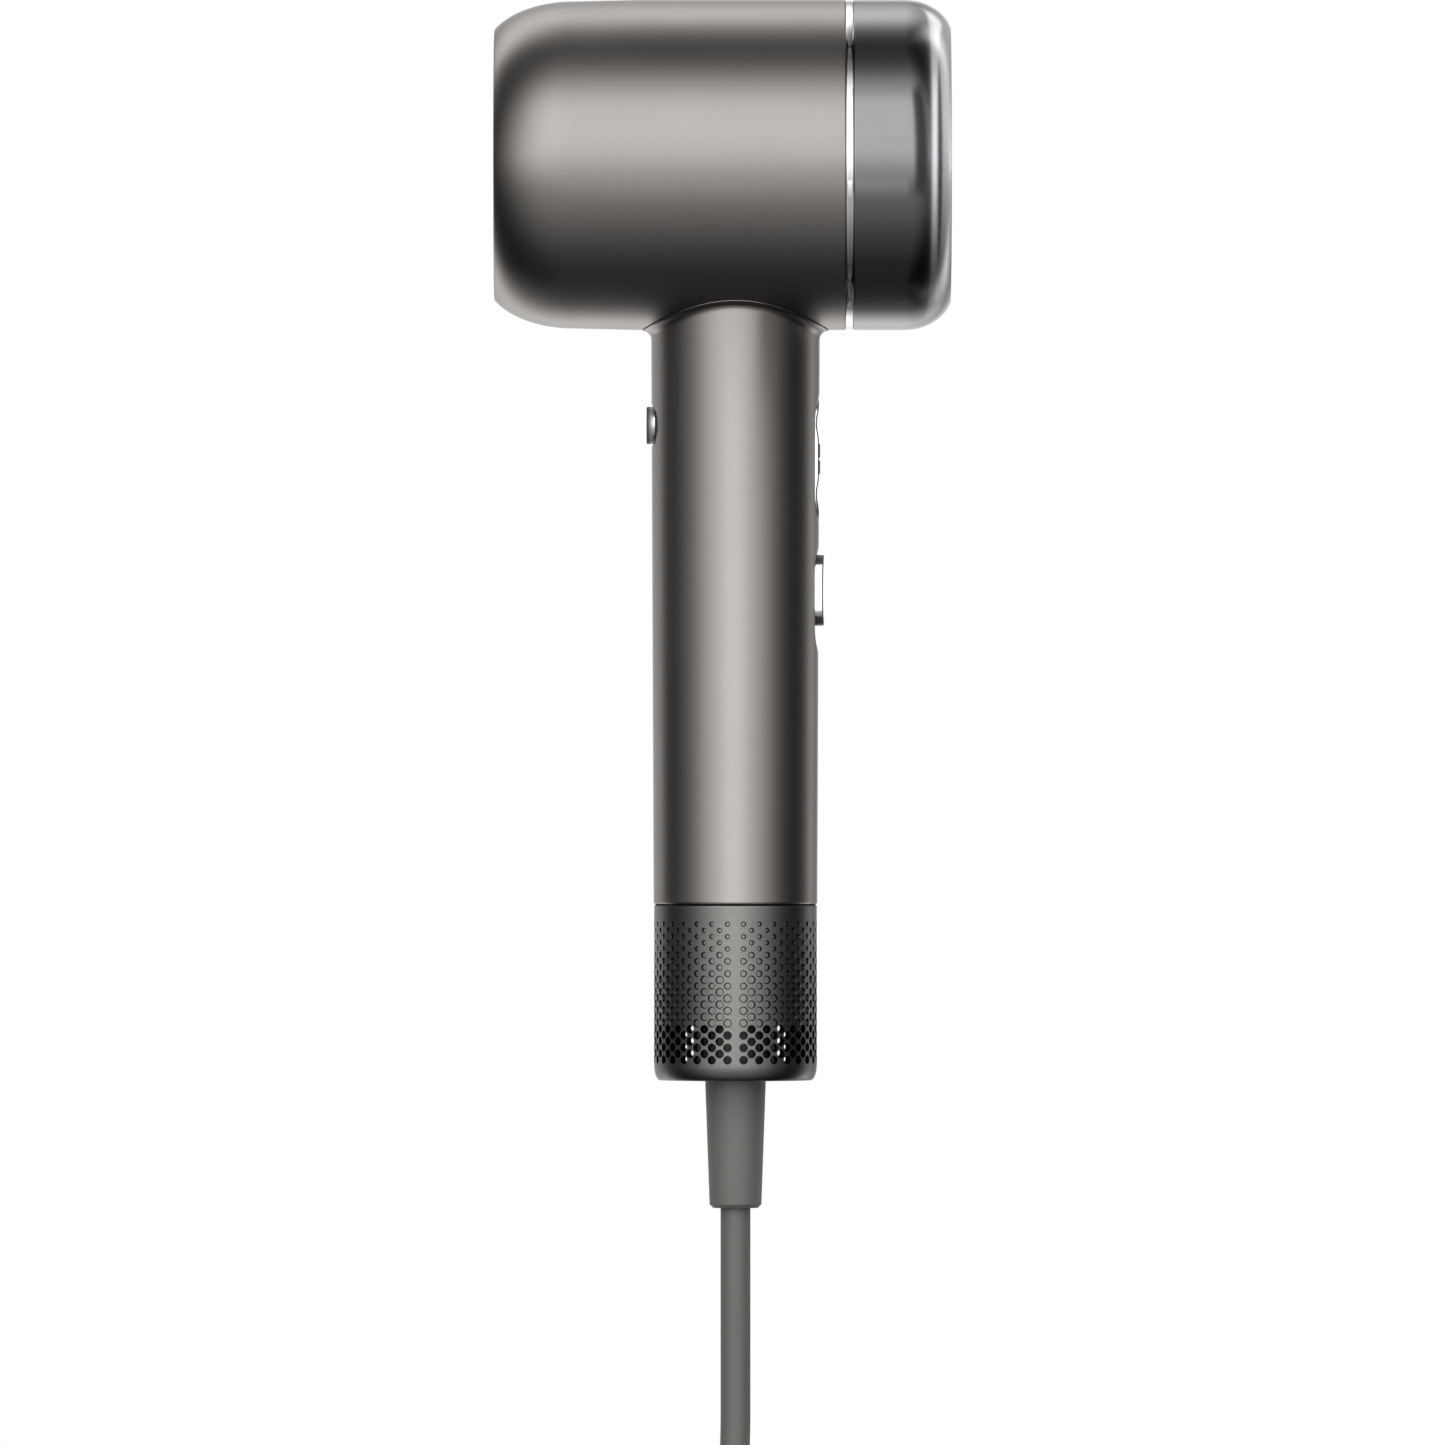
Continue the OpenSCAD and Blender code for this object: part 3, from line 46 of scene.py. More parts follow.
view_x, view_z, view_width = -2.95, -89.2, 328.4
view_distance, film_width = 5470.0, 36.0
viewpoint = bpy.data.objects.new("viewpoint", bpy.data.cameras.new("viewpoint"))
viewpoint.data.sensor_width = film_width
viewpoint.data.lens = film_width * view_distance / view_width
viewpoint.data.clip_end = 50.0
viewpoint.location = (view_x * MM, -view_distance * MM, view_z * MM)
viewpoint.rotation_euler = (np.pi / 2, 0.0, 0.0)
bpy.context.scene.collection.objects.link(viewpoint)
bpy.context.scene.camera = viewpoint
bpy.context.scene.view_settings.view_transform = "Standard"

# ----------------------------------------------------------------- mains cord
# Round two-core lead, 6.8 mm thick and about 1.8 m long, extruded in soft grey PVC.
# It drops straight from the strain relief, then lies wound in a flat double coil,
# four turns side by side, with its last turn coming off the top to the plug.
cord_thickness = 6.8
coil_x, coil_y, coil_z, layer_rise = -5.0, 67.0, -295.7, 6.9
lead_points = np.array([
    [0, 0, -199.5], [0, 0, -215], [0, 0, -231], [0, 0, -247], [0, 0, -260],
    [2, 2, -273], [7, 7, -284.5], [15, 15, -292.5], [24, 24, -295.4], [31, 31, -295.7]])
tail_points = np.array([
    [-26.5, 113.5, -288.8], [-34.5, 109.8, -288.8], [-43.5, 105.5, -289.6],
    [-51.5, 99.5, -292.1], [-58.5, 92, -294.7], [-63, 82.5, -295.8], [-65, 72, -295.7],
    [-65, 62, -295.2], [-65, 54, -293.7], [-65, 46, -291.9], [-65, 41, -291],
    [-65, 36, -291]])
# Each stage of the winding: the angle wound so far, the turn's radius and its layer.
winding = np.array([
    [0, 50.7, 0], [210, 50.7, 0], [360, 43.8, 0], [570, 43.8, 0], [720, 36.9, 0],
    [930, 36.9, 0], [1080, 30, 0], [1140, 30, 0], [1290, 30, 1], [1450, 30, 1],
    [1600, 36.9, 1], [1810, 36.9, 1], [1960, 43.8, 1], [2170, 43.8, 1], [2320, 51.1, 1]])


def eased(x, stations, values):
    """Value at x between stations: from one value to the next along 3t^2 - 2t^3, which
    leaves and arrives without a kink."""
    i = np.clip(np.searchsorted(stations, x, side="right") - 1, 0, len(stations) - 2)
    t = np.clip((x - stations[i]) / (stations[i + 1] - stations[i]), 0, 1)
    return values[i] + (values[i + 1] - values[i]) * t * t * (3 - 2 * t)


def smooth_route(points, steps):
    """A curve through the points: on each span a cubic whose slope at a point is half
    the step between that point's two neighbours."""
    p = np.vstack([2 * points[0] - points[1], points, 2 * points[-1] - points[-2]])
    a, b, c, d = (p[i:len(p) - 3 + i, None] for i in range(4))
    t = np.linspace(0, 1, steps, endpoint=False)[None, :, None]
    spans = 0.5 * (2 * b + (c - a) * t + (2 * a - 5 * b + 4 * c - d) * t ** 2
                   + (3 * b - a - 3 * c + d) * t ** 3)
    return np.vstack([spans.reshape(-1, 3), points[-1:]])


between_points, winding_start = 20.0, 45.0
wound = np.arange(between_points, winding[-1, 0], between_points)
turn_radius = eased(wound, winding[:, 0], winding[:, 1])
turn_angle = np.radians(wound - winding_start)
coil_points = np.column_stack([
    coil_x + turn_radius * np.cos(turn_angle), coil_y + turn_radius * np.sin(turn_angle),
    coil_z + layer_rise * eased(wound, winding[:, 0], winding[:, 2])])
cord_route = smooth_route(np.vstack([lead_points, coil_points, tail_points]), 5)


def closed_mesh(name, grids, sharp):
    """Joins grids of points (rows x columns x 3, in millimetres) into one mesh. Each four
    neighbouring points make a face. Points within a thousandth of a millimetre become one,
    which closes seams and poles, and a face that has lost a corner becomes a triangle. The
    faces are turned outwards, where one sixth of the sum of p0 . (p1 x p2) is positive."""
    points, quads, start = [], [], 0
    for grid in grids:
        rows, columns = grid.shape[:2]
        index = start + np.arange(rows * columns).reshape(rows, columns)
        quads.append(np.stack([index[:-1, :-1], index[:-1, 1:], index[1:, 1:],
                               index[1:, :-1]], -1).reshape(-1, 4))
        points.append(grid.reshape(-1, 3))
        start += rows * columns
    points, quads = np.vstack(points), np.vstack(quads)
    _, first, weld = np.unique(np.round(points, 3), axis=0, return_index=True,
                               return_inverse=True)
    points, quads = points[first], weld.ravel()[quads]
    same = quads == np.roll(quads, -1, axis=1)
    whole = quads[~same.any(axis=1)]
    pinched = same.sum(axis=1) == 1
    triangles = quads[pinched][~same[pinched]].reshape(-1, 3)
    fans = np.vstack([whole[:, [0, 1, 2]], whole[:, [0, 2, 3]], triangles])
    p = points[fans]
    if np.einsum("ij,ij->", p[:, 0], np.cross(p[:, 1], p[:, 2])) < 0:
        whole, triangles = whole[:, ::-1], triangles[:, ::-1]
    mesh = bpy.data.meshes.new(name)
    mesh.from_pydata((points * MM).tolist(), [], whole.tolist() + triangles.tolist())
    mesh.shade_smooth()
    mesh.set_sharp_from_angle(angle=np.radians(sharp))
    return mesh


def make_piece(name, body, slot, finish, *grids, sharp=30.0, instead_of=()):
    """A closed surface of one finish. It moves with a body and stands for CAD nodes."""
    mesh = closed_mesh(name, grids, sharp)
    mesh.materials.append(finish)
    piece = bpy.data.objects.new(name, mesh)
    bpy.context.scene.collection.objects.link(piece)
    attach(piece, body)
    if instead_of:
        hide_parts(*instead_of)
    return piece


def paint_of(hex_code):
    """Linear colour of an sRGB hex code: each channel c becomes ((c + 0.055) / 1.055)
    to the power 2.4, or c / 12.92 where it is very dark."""
    c = np.array([int(hex_code[i:i + 2], 16) / 255 for i in (1, 3, 5)])
    linear = np.where(c > 0.04045, ((c + 0.055) / 1.055) ** 2.4, c / 12.92)
    return (*linear.tolist(), 1.0)


def add(material, kind, values=None, **settings):
    """Adds a node with its settings. A value that is another node's output is linked,
    and any other value is set on the socket."""
    node = material.node_tree.nodes.new(kind)
    for name, value in settings.items():
        setattr(node, name, value)
    for name, value in (values or {}).items():
        if isinstance(value, bpy.types.NodeSocket):
            material.node_tree.links.new(value, node.inputs[name])
        else:
            node.inputs[name].default_value = value
    return node


def new_material(name):
    """An empty node material with an output, and the object's own coordinates."""
    material = bpy.data.materials.new(name)
    material.use_nodes = True
    material.node_tree.nodes.clear()
    output = add(material, "ShaderNodeOutputMaterial")
    place = add(material, "ShaderNodeTexCoord").outputs["Object"]
    return material, output, place


def patchy(material, place, size, roughness, change):
    """Roughness that drifts by plus or minus a change, in faint patches of one size."""
    patches = add(material, "ShaderNodeTexNoise",
                  {"Vector": place, "Scale": 1000 / size, "Detail": 2.0})
    return add(material, "ShaderNodeMapRange",
               {"Value": patches.outputs["Fac"], "From Min": 0.3, "From Max": 0.7,
                "To Min": roughness - change, "To Max": roughness + change}).outputs["Result"]


def shaded(material, colour, pattern, seen, factor):
    """A colour times a factor, which runs between its two values as the pattern runs
    between the two that are seen."""
    scale = add(material, "ShaderNodeMapRange",
                {"Value": pattern, "From Min": seen[0], "From Max": seen[1],
                 "To Min": factor[0], "To Max": factor[1]})
    return add(material, "ShaderNodeVectorMath",
               {0: paint_of(colour)[:3], "Scale": scale.outputs["Result"]},
               operation="SCALE").outputs["Vector"]


def finished(material, output, relief, strength, height, values):
    """Closes a material: a relief of one height in millimetres, and the shader's values."""
    bump = add(material, "ShaderNodeBump",
               {"Height": relief, "Strength": strength, "Distance": height * MM})
    shader = add(material, "ShaderNodeBsdfPrincipled",
                 {**values, "Normal": bump.outputs["Normal"]})
    material.node_tree.links.new(shader.outputs["BSDF"], output.inputs["Surface"])
    return material


def soft_plastic(name, colour, grain, roughness, uneven=0.06, height=0.02):
    """Matt rubber or plastic. The mould's spark-eroded skin gives it a fine even grain,
    and handling leaves faint patches of more and less shine. The real grain is finer than
    a tenth of a millimetre, and is drawn coarser so that it shows."""
    material, output, place = new_material(name)
    skin = add(material, "ShaderNodeTexNoise",
               {"Vector": place, "Scale": 1000 / grain, "Detail": 3.0,
                "Roughness": 0.6}).outputs["Fac"]
    return finished(material, output, skin, 0.35, height, {
        "Base Color": shaded(material, colour, skin, (0.3, 0.7), (0.94, 1.06)),
        "Roughness": patchy(material, place, 18.0, roughness, uneven), "IOR": 1.5})


# Soft PVC has a low, wide sheen and a skin that is never quite even.
cord_pvc = soft_plastic("extruded_pvc_grey", "#6f6d6a", 0.35, 0.52)


def cord_skin(route, r, sides=24):
    """A round tube along a route. At each point one arm is near level and square to the
    route, close to (d_y, -d_x) where the route heads (d_x, d_y), and the other arm is
    square to both. Where the route drops straight down, the near level arm is held at
    (1, -1). A ring point is the route's point plus r cos a and r sin a along the arms."""
    along = np.gradient(route, axis=0)
    along /= np.linalg.norm(along, axis=1, keepdims=True)
    level = np.column_stack([along[:, 1] + 0.1, -along[:, 0] - 0.1, 0 * along[:, 0]])
    upright = np.cross(along, level)
    upright /= np.linalg.norm(upright, axis=1, keepdims=True)
    level = np.cross(upright, along)
    a = np.linspace(0, 2 * np.pi, sides + 1)[None, :, None]
    tube = route[:, None] + r * (np.cos(a) * level[:, None] + np.sin(a) * upright[:, None])
    start, end = (np.repeat(route[k][None, None], sides + 1, axis=1) for k in (0, -1))
    return np.concatenate([start, tube, end])


mains_cord = make_piece("mains_cord", "dryer", "cord_rubber", cord_pvc,
                        cord_skin(cord_route, cord_thickness / 2),
                        instead_of=["cord_lead", "cord_coil", "cord_tail"])

# ------------------------------------------------------------- cord tie strap
# Woven hook-and-loop strap, wrapped tightly round the coil to keep it wound. It is one
# closed loop here, because the pressed-down end of the real one hardly shows.


def woven_strap(name, colour, thread):
    """Plain weave: two sets of threads a thread's width apart, whose crests are sines
    along and across the strap, with a worn, slightly paler nap."""
    material, output, place = new_material(name)
    warp = add(material, "ShaderNodeTexWave",
               {"Vector": place, "Scale": 1000 / thread / 6.28, "Distortion": 0.6,
                "Detail": 2.0, "Detail Scale": 2.0},
               wave_type="BANDS", bands_direction="DIAGONAL")
    nap = add(material, "ShaderNodeTexNoise",
              {"Vector": place, "Scale": 1000 / 0.8, "Detail": 4.0})
    crossed = add(material, "ShaderNodeMath", {0: warp.outputs["Fac"], 1: nap.outputs["Fac"]},
                  operation="MULTIPLY").outputs["Value"]
    return finished(material, output, crossed, 0.6, 0.2, {
        "Base Color": shaded(material, colour, crossed, (0, 1), (0.7, 1.5)),
        "Roughness": 0.9, "Sheen Weight": 0.3, "Sheen Roughness": 0.5})


def box_outline(width, height, corner, steps=10):
    """A rectangle with round corners, anticlockwise: a quarter circle at each corner, and
    straight lines between the quarters."""
    a = np.radians(np.linspace(0, 90, steps)[None, :] + np.arange(4)[:, None] * 90)
    sx, sy = np.array([[1, -1, -1, 1], [1, 1, -1, -1]])[:, :, None]
    x = sx * (width / 2 - corner) + corner * np.cos(a)
    y = sy * (height / 2 - corner) + corner * np.sin(a)
    return np.column_stack([x.ravel(), y.ravel()])


strap_black = woven_strap("woven_nylon_strap_black", "#262627", 0.7)
coil_in_r, coil_out_r = 26.6, 54.1
strap_mid_r, strap_mid_z = (coil_in_r + coil_out_r) / 2, coil_z + layer_rise / 2
strap_at, strap_spread, strap_thick = 35.0, 7.5, 0.8
loop_width, loop_height, loop_corner, loop_gap = 27.5, 13.7, 3.4, 0.05
# The strap's own section, as (how far out, which share of its spread): a flat band with
# rounded selvedges. The spread is 7.5 degrees of the turn, which is about 5 mm.
strap_section = box_outline(strap_thick, 1.0, 0.3, 5)
strap_path = box_outline(loop_width, loop_height, loop_corner)
strap_path = np.vstack([strap_path, strap_path[:1]])
straight_part = np.array([loop_width / 2, loop_height / 2]) - loop_corner
outward = strap_path - np.clip(strap_path, -straight_part, straight_part)
outward /= np.linalg.norm(outward, axis=1, keepdims=True)
out = strap_thick / 2 + loop_gap + np.append(strap_section[:, 0], strap_section[0, 0])
along = np.append(strap_section[:, 1], strap_section[0, 1])
ring_r = strap_mid_r + strap_path[:, 0, None] + outward[:, 0, None] * out[None, :]
ring_z = strap_mid_z + strap_path[:, 1, None] + outward[:, 1, None] * out[None, :]
ring_a = np.radians(strap_at + strap_spread * along[None, :]) + 0 * ring_r
tie_strap = make_piece(
    "tie_strap", "dryer", "tie_strap", strap_black,
    np.stack([coil_x + ring_r * np.cos(ring_a), coil_y + ring_r * np.sin(ring_a), ring_z], -1),
    sharp=50, instead_of=["cord_tie"])

# ----------------------------------------------------------------------- plug
# Two-pin round plug, moulded over the cord in one piece of soft PVC. Its body narrows to
# a boot with five bending grooves, and the pins are nickel-plated brass.
plug_x, plug_z, plug_foot, cord_hole_r = -65.0, -291.0, 36.0, 3.42
boot_start, groove_start, last_groove, groove_pitch, groove_depth = 14, 15, 33.5, 4.4, 0.55
plug_y = np.array([-22, -22, -21.6, -20.8, -19.5, -17, -12, -4, 0, 3, 6, 9, 12, 14])
plug_half_w = np.array([0, 15.2, 16.4, 17.1, 17.5, 17.5, 17.4, 17.0, 16.4, 14.6, 11.6, 8.6,
                        6.6, 6.0])
plug_half_h = np.array([0, 6.6, 7.8, 8.5, 8.9, 8.9, 8.9, 8.85, 8.7, 8.3, 7.6, 6.9, 6.2, 6.0])
plug_power = np.array([2.6, 2.6, 2.6, 2.6, 2.6, 2.6, 2.6, 2.55, 2.5, 2.4, 2.25, 2.1, 2.0, 2.0])
# The boot's radius narrows from 6 to 4.6 mm, less the waves of its grooves. The last groove
# is cut short.
boot_y = np.linspace(boot_start, plug_foot, 67)[1:]
turns = (boot_y - groove_start) / groove_pitch
groove = groove_depth * np.clip(np.sin(turns * 2 * np.pi), 0, 1)
boot_r = (6.0 - 1.4 * (boot_y - boot_start) / (plug_foot - boot_start)
          - np.where(boot_y < last_groove, groove, 0))
plug_y = np.concatenate([plug_y, boot_y, [plug_foot]])
plug_half_w = np.concatenate([plug_half_w, boot_r, [cord_hole_r]])
plug_half_h = np.concatenate([plug_half_h, boot_r, [cord_hole_r]])
plug_power = np.concatenate([plug_power, np.full(len(boot_r) + 1, 2.0)])
a = np.linspace(0, 2 * np.pi, 97)[None, :]
# Each section is |x/w|^n + |z/h|^n = 1: n is 2 for a round and more for a flatter side.
wide, high = (np.sign(way) * np.abs(way) ** (2 / plug_power[:, None])
              for way in (np.cos(a), np.sin(a)))
plug_grid = np.stack([plug_x + plug_half_w[:, None] * wide, plug_y[:, None] + 0 * a,
                      plug_z + plug_half_h[:, None] * high], -1)
plug_end = np.concatenate([plug_grid[-1:], 0 * plug_grid[-1:] + [plug_x, plug_foot, plug_z]])
# A moulded skin is a little coarser and shinier than the extruded one of the cord.
plug_pvc = soft_plastic("moulded_pvc_grey", "#6b6967", 0.5, 0.48)
mains_plug = make_piece("mains_plug", "dryer", "plug_rubber", plug_pvc, plug_grid, plug_end,
                        sharp=40, instead_of=["plug_body"])

# ---------------------------------------------------------------- barrel shell
# The barrel is one drawn and spun aluminium shell, 75 mm across, with a flat front face
# and a wide rounded shoulder. Its coat is a satin metallic paint of a warm titanium grey.
barrel_r, barrel_z = 37.5, 37.5


def satin_metal(name, colour, roughness, grain=0.3, flake=0.05, height=0.004):
    """Metallic paint or blasted metal: flakes of slightly different brightness, and a fine
    grain in the surface that spreads the highlight. Real flakes measure some hundredths of
    a millimetre, and are drawn coarser so that they show."""
    material, output, place = new_material(name)
    flakes = add(material, "ShaderNodeTexNoise",
                 {"Vector": place, "Scale": 1000 / grain, "Detail": 2.0,
                  "Roughness": 0.7}).outputs["Fac"]
    return finished(material, output, flakes, 0.5, height, {
        "Base Color": shaded(material, colour, flakes, (0.3, 0.7), (1 - flake, 1 + flake)),
        "Roughness": patchy(material, place, 22.0, roughness, 0.012), "Metallic": 1.0})


def turned(profile, steps=256):
    """A surface turned round the barrel's axis. A profile point (r, x) gives a circle of
    radius r at x: y = r sin a, and z = r cos a above the axis."""
    r, x = np.asarray(profile, float).T[:, :, None]
    a = np.linspace(0, 2 * np.pi, steps + 1)[None, :]
    return np.stack([x + 0 * a, r * np.sin(a), barrel_z + r * np.cos(a)], -1)


def shoulder(face_x, length, face_r, body_r, cut, steps=64):
    """A rounded shoulder from a flat face to a barrel: part of an ellipse. At angle f,
    which runs from the one whose sine is cut down to 0, the radius has dropped in
    proportion to 1 - cos f, and the distance from the face grows as 1 - sin f / cut."""
    widest = np.arcsin(cut)
    f = widest * (1 - np.linspace(0, 1, steps))
    return np.column_stack([
        body_r - (body_r - face_r) * (1 - np.cos(f)) / (1 - np.cos(widest)),
        face_x + length * (1 - np.sin(f) / cut)])


titanium_paint = satin_metal("satin_titanium_paint", "#908c89", 0.33)
front_x, mouth_x, mouth_r, barrel_in_r = -54.8, -52.3, 26.7, 35.5
# From the mouth over the face and the shoulder to the joint, and back along the inside.
barrel_profile = np.vstack([
    [mouth_r, mouth_x], [mouth_r, -54.5], [26.79, -54.71], [27.0, front_x],
    [30.3, front_x], [30.55, -54.79],
    shoulder(front_x, 18.0, 30.7, 37.15, 0.9)[1:],
    np.column_stack([np.linspace(37.15, barrel_r, 8)[1:], np.linspace(-36.8, -22.15, 8)[1:]]),
    [barrel_r, 24.5], [barrel_r, 24.8], [37.44, 24.91], [37.35, 24.95],
    [barrel_in_r, 24.95], [barrel_in_r, -22.15],
    shoulder(mouth_x, 15.5, 29.5, 35.15, 0.9)[::-1], [mouth_r, mouth_x]])
make_piece("barrel_shell", "dryer", "titanium_paint", titanium_paint,
           turned(barrel_profile), instead_of=["head_shell"])

# ------------------------------------------------------------ outlet and grille
# The outlet ring is moulded in black glass-filled nylon, with a smooth seat for the
# nozzle. Behind it sit a ring magnet and the stamped and blackened grille.


def finish_nodes(finishes):
    """Gives each solid that keeps its own shape the finish beside its name."""
    for node, finish in finishes.items():
        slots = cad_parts[node].data.materials
        slots.clear()
        slots.append(finish)


# Moulded nylon is dull and even, and blackened steel has a soft shine. Nickel and zinc plate
# are bright, but too rough to mirror.
nylon_black = soft_plastic("moulded_nylon_black", "#262628", 0.4, 0.42)
grille_black = satin_metal("blackened_steel", "#3a3a3b", 0.42, grain=0.4)
nickel = satin_metal("nickel_plate", "#c9c6c0", 0.18, grain=0.5, flake=0.02)
zinc = satin_metal("bright_zinc_plate", "#c4c5c6", 0.24, grain=0.5, flake=0.03)
finish_nodes({"outlet_ring": nylon_black, "outlet_grille": grille_black,
              "nozzle_magnet": nickel, "ion_emitter": zinc, "ion_module": nylon_black})

# --------------------------------------------------------------- heater and guide
# Crossed mica boards carry the heating wires in a mica-lined tube. A bimetal switch and a
# glass-bead sensor watch the heat, and a nylon guide turns the air out of the neck. Mica
# looks like oiled card, the wire is a dull brown grey, and only the bead shines.
finish_nodes({
    "heater_tube": soft_plastic("pressed_mica", "#b49a6c", 0.8, 0.35, 0.1, 0.03),
    "heater_frame": soft_plastic("cut_mica_board", "#bfa77a", 0.8, 0.35, 0.1, 0.03),
    "heater_coils": satin_metal("oxidised_resistance_wire", "#8d8478", 0.38),
    "thermal_cutout": zinc,
    "thermistor": soft_plastic("glazed_glass_bead", "#1c1c1e", 0.6, 0.12, 0.02, 0.002),
    "air_guide": nylon_black, "neck_duct": nylon_black, "neck_nut": zinc, "cap_screws": zinc})

# ------------------------------------------------------------------- trim ring
# A narrow brass ring, turned, polished and chromium plated, so that it mirrors the room
# almost sharply. It hides the joint between the barrel and the rear cap, with a fine groove
# on each side.
chrome = satin_metal("polished_chromium_plate", "#e6e6e5", 0.07, grain=1.5, flake=0.01,
                     height=0.001)
ring_front, ring_back = 25.0, 26.75
make_piece(
    "polished_trim_ring", "dryer", "polished_ring", chrome,
    turned([[barrel_in_r, ring_front], [37.33, ring_front], [37.42, ring_front + 0.06],
            [37.48, ring_front + 0.2], [barrel_r, ring_front + 0.5],
            [barrel_r, ring_back - 0.5], [37.48, ring_back - 0.2],
            [37.42, ring_back - 0.06], [37.33, ring_back], [barrel_in_r, ring_back],
            [barrel_in_r, ring_front]]), instead_of=["trim_ring"])

# --------------------------------------------------------------------- rear cap
# The rear cap is moulded in ABS and lacquered in a deep graphite, which is glossier than
# the barrel's paint. A faintly domed round panel of the same colour closes its middle.
graphite_lacquer = satin_metal("graphite_lacquer", "#7e7e80", 0.2, grain=0.35, flake=0.04,
                               height=0.002)
cap_back, recess_x, recess_r, collar_in_r, collar_end = 48.9, 47.25, 27.15, 33.35, 19.95
# From the collar inside the barrel over the shoulder to the recess for the panel, and back.
cap_profile = np.vstack([
    [collar_in_r, collar_end], [35.35, collar_end], [35.35, 26.8], [37.35, 26.8],
    [37.46, 26.85], [barrel_r, 26.95], [barrel_r, 27.2],
    shoulder(cap_back, -10.5, 31.3, barrel_r, 0.95)[::-1],
    [31.0, cap_back], [27.35, cap_back], [27.2, 48.84], [recess_r, 48.7],
    [recess_r, recess_x], [0, recess_x], [0, 44.65], [27.0, 44.65], [collar_in_r, 36.65],
    [collar_in_r, collar_end]])
rear_cap = make_piece("rear_cap_shell", "dryer", "graphite_gloss", graphite_lacquer,
                      turned(cap_profile), instead_of=["rear_cap"])
# The dome rises 0.2 mm over the cap's back in the middle, and is level with it at 18 mm.
dome_r, dome_rise, level_r = np.linspace(26.85, 0, 40), 0.2, 18
dome_profile = np.vstack([
    [0, 47.3], [26.95, 47.3], [27.0, 47.4], [27.0, 48.5], [26.95, 48.6],
    np.column_stack([dome_r, cap_back + dome_rise * (1 - (dome_r / level_r) ** 2)])])
rear_dome = make_piece("rear_dome", "dryer", "graphite_gloss", graphite_lacquer,
                       turned(dome_profile), instead_of=["rear_panel"])

# ---------------------------------------------------------------------- handle
# The handle is a drawn aluminium tube with the barrel's paint. Its radius tapers by about
# half a millimetre, it flares where it meets the barrel, and two flats are milled for its
# controls.
handle_top_r, handle_taper, handle_end, handle_in_r = 19.15, 0.55, -130.4, 16.35
flare, flare_r, seam, lip = 2.0, 21.15, 0.1, 0.12


def saddle(r, a):
    """Height of the barrel's surface over its lowest line, at radius r from the handle's
    axis in direction a: R - sqrt(R^2 - (r sin a)^2)."""
    return barrel_r - np.sqrt(barrel_r ** 2 - (r * np.sin(a)) ** 2)


a = np.linspace(0, 2 * np.pi, 385)[None, :]
f = np.radians(np.linspace(0, 84, 15))[:, None]
# The flare is nearly a quarter circle, carried round on the saddle curve. Below it each row
# follows the saddle less and less, with the square of what is left of 22 mm, and then lies
# level. The last row is drawn in by 0.1 mm, which breaks the edge of the foot.
flare_rows = np.stack([
    flare_r - flare * np.sin(f) + 0 * a,
    saddle(flare_r, a) - seam - lip + flare * (np.cos(f) - 1)], -1)
levelling, levelling_start, foot_edge = 22, 2.1, 130.2
drop = np.concatenate([np.linspace(2.3, 24, 12), np.arange(28, 127, 4.0),
                       [129.8, 130.15, 130.34]])[:, None]
still_curved = np.clip(1 - (drop - levelling_start) / levelling, 0, 1) ** 2
drop_z = saddle(flare_r, a) * still_curved - drop
tube_rows = np.stack([
    handle_top_r + handle_taper * np.clip(drop_z, -131, 0) / -handle_end
    - 0.1 * (drop > foot_edge), drop_z], -1)
counterbore_r, counterbore_top = 17.2, -6.0
foot_rows = np.array([[18.4, handle_end], [17.3, handle_end], [counterbore_r, -130.3],
                      [counterbore_r, counterbore_top],
                      [handle_in_r, counterbore_top]])[:, None] + 0 * a[..., None]
top_r = np.array([handle_in_r, 18.0, 19.5, 20.9, 21.12, flare_r])[:, None]
top_rows = np.stack([top_r + 0 * a,
                     saddle(top_r, a) - seam - 0.03 * (top_r == flare_r)], -1)
rows = np.concatenate([flare_rows, tube_rows, foot_rows, top_rows, flare_rows[:1]])
handle_grid = np.stack([rows[..., 0] * np.cos(a), rows[..., 0] * np.sin(a), rows[..., 1]], -1)
handle_tube = make_piece("handle_tube", "dryer", "titanium_paint", titanium_paint,
                         handle_grid, instead_of=["handle_shell"])


def prism(outline, low, high, across):
    """A closed bar: an outline in two directions, carried along the third from low to
    high, with both ends filled to its middle."""
    ring = np.vstack([outline, outline[:1]])
    centre = outline.mean(axis=0) + 0 * ring
    loops = [centre, ring, ring, centre]
    grid = np.zeros((4, len(ring), 3))
    others = [k for k in range(3) if k != across]
    for row, (loop, level) in enumerate(zip(loops, [low, low, high, high])):
        grid[row][:, others] = loop
        grid[row][:, across] = level
    return grid


def round_slot(width, length, steps=24):
    """An outline with round ends, long along its second direction."""
    a = np.radians(np.linspace(0, 180, steps))
    end = np.column_stack([width / 2 * np.cos(a), (length - width) / 2 + width / 2 * np.sin(a)])
    return np.vstack([end, -end])


def milled(top, end, floor_x, cutter_r, reach=20.0):
    """Outline of the space that a round cutter clears between two heights: a flat floor
    that leaves the tube along the cutter's radius at each end."""
    depth = handle_top_r - floor_x
    run_out = np.sqrt(2 * cutter_r * depth - depth ** 2)
    x = floor_x + (reach - floor_x) * np.linspace(1, 0, 40) ** 2
    rise = np.sqrt(cutter_r ** 2 - (cutter_r - (x - floor_x)) ** 2)
    upper = np.column_stack([x, top - run_out + rise])
    lower = np.column_stack([x, end + run_out - rise])[::-1]
    return np.vstack([upper, lower])


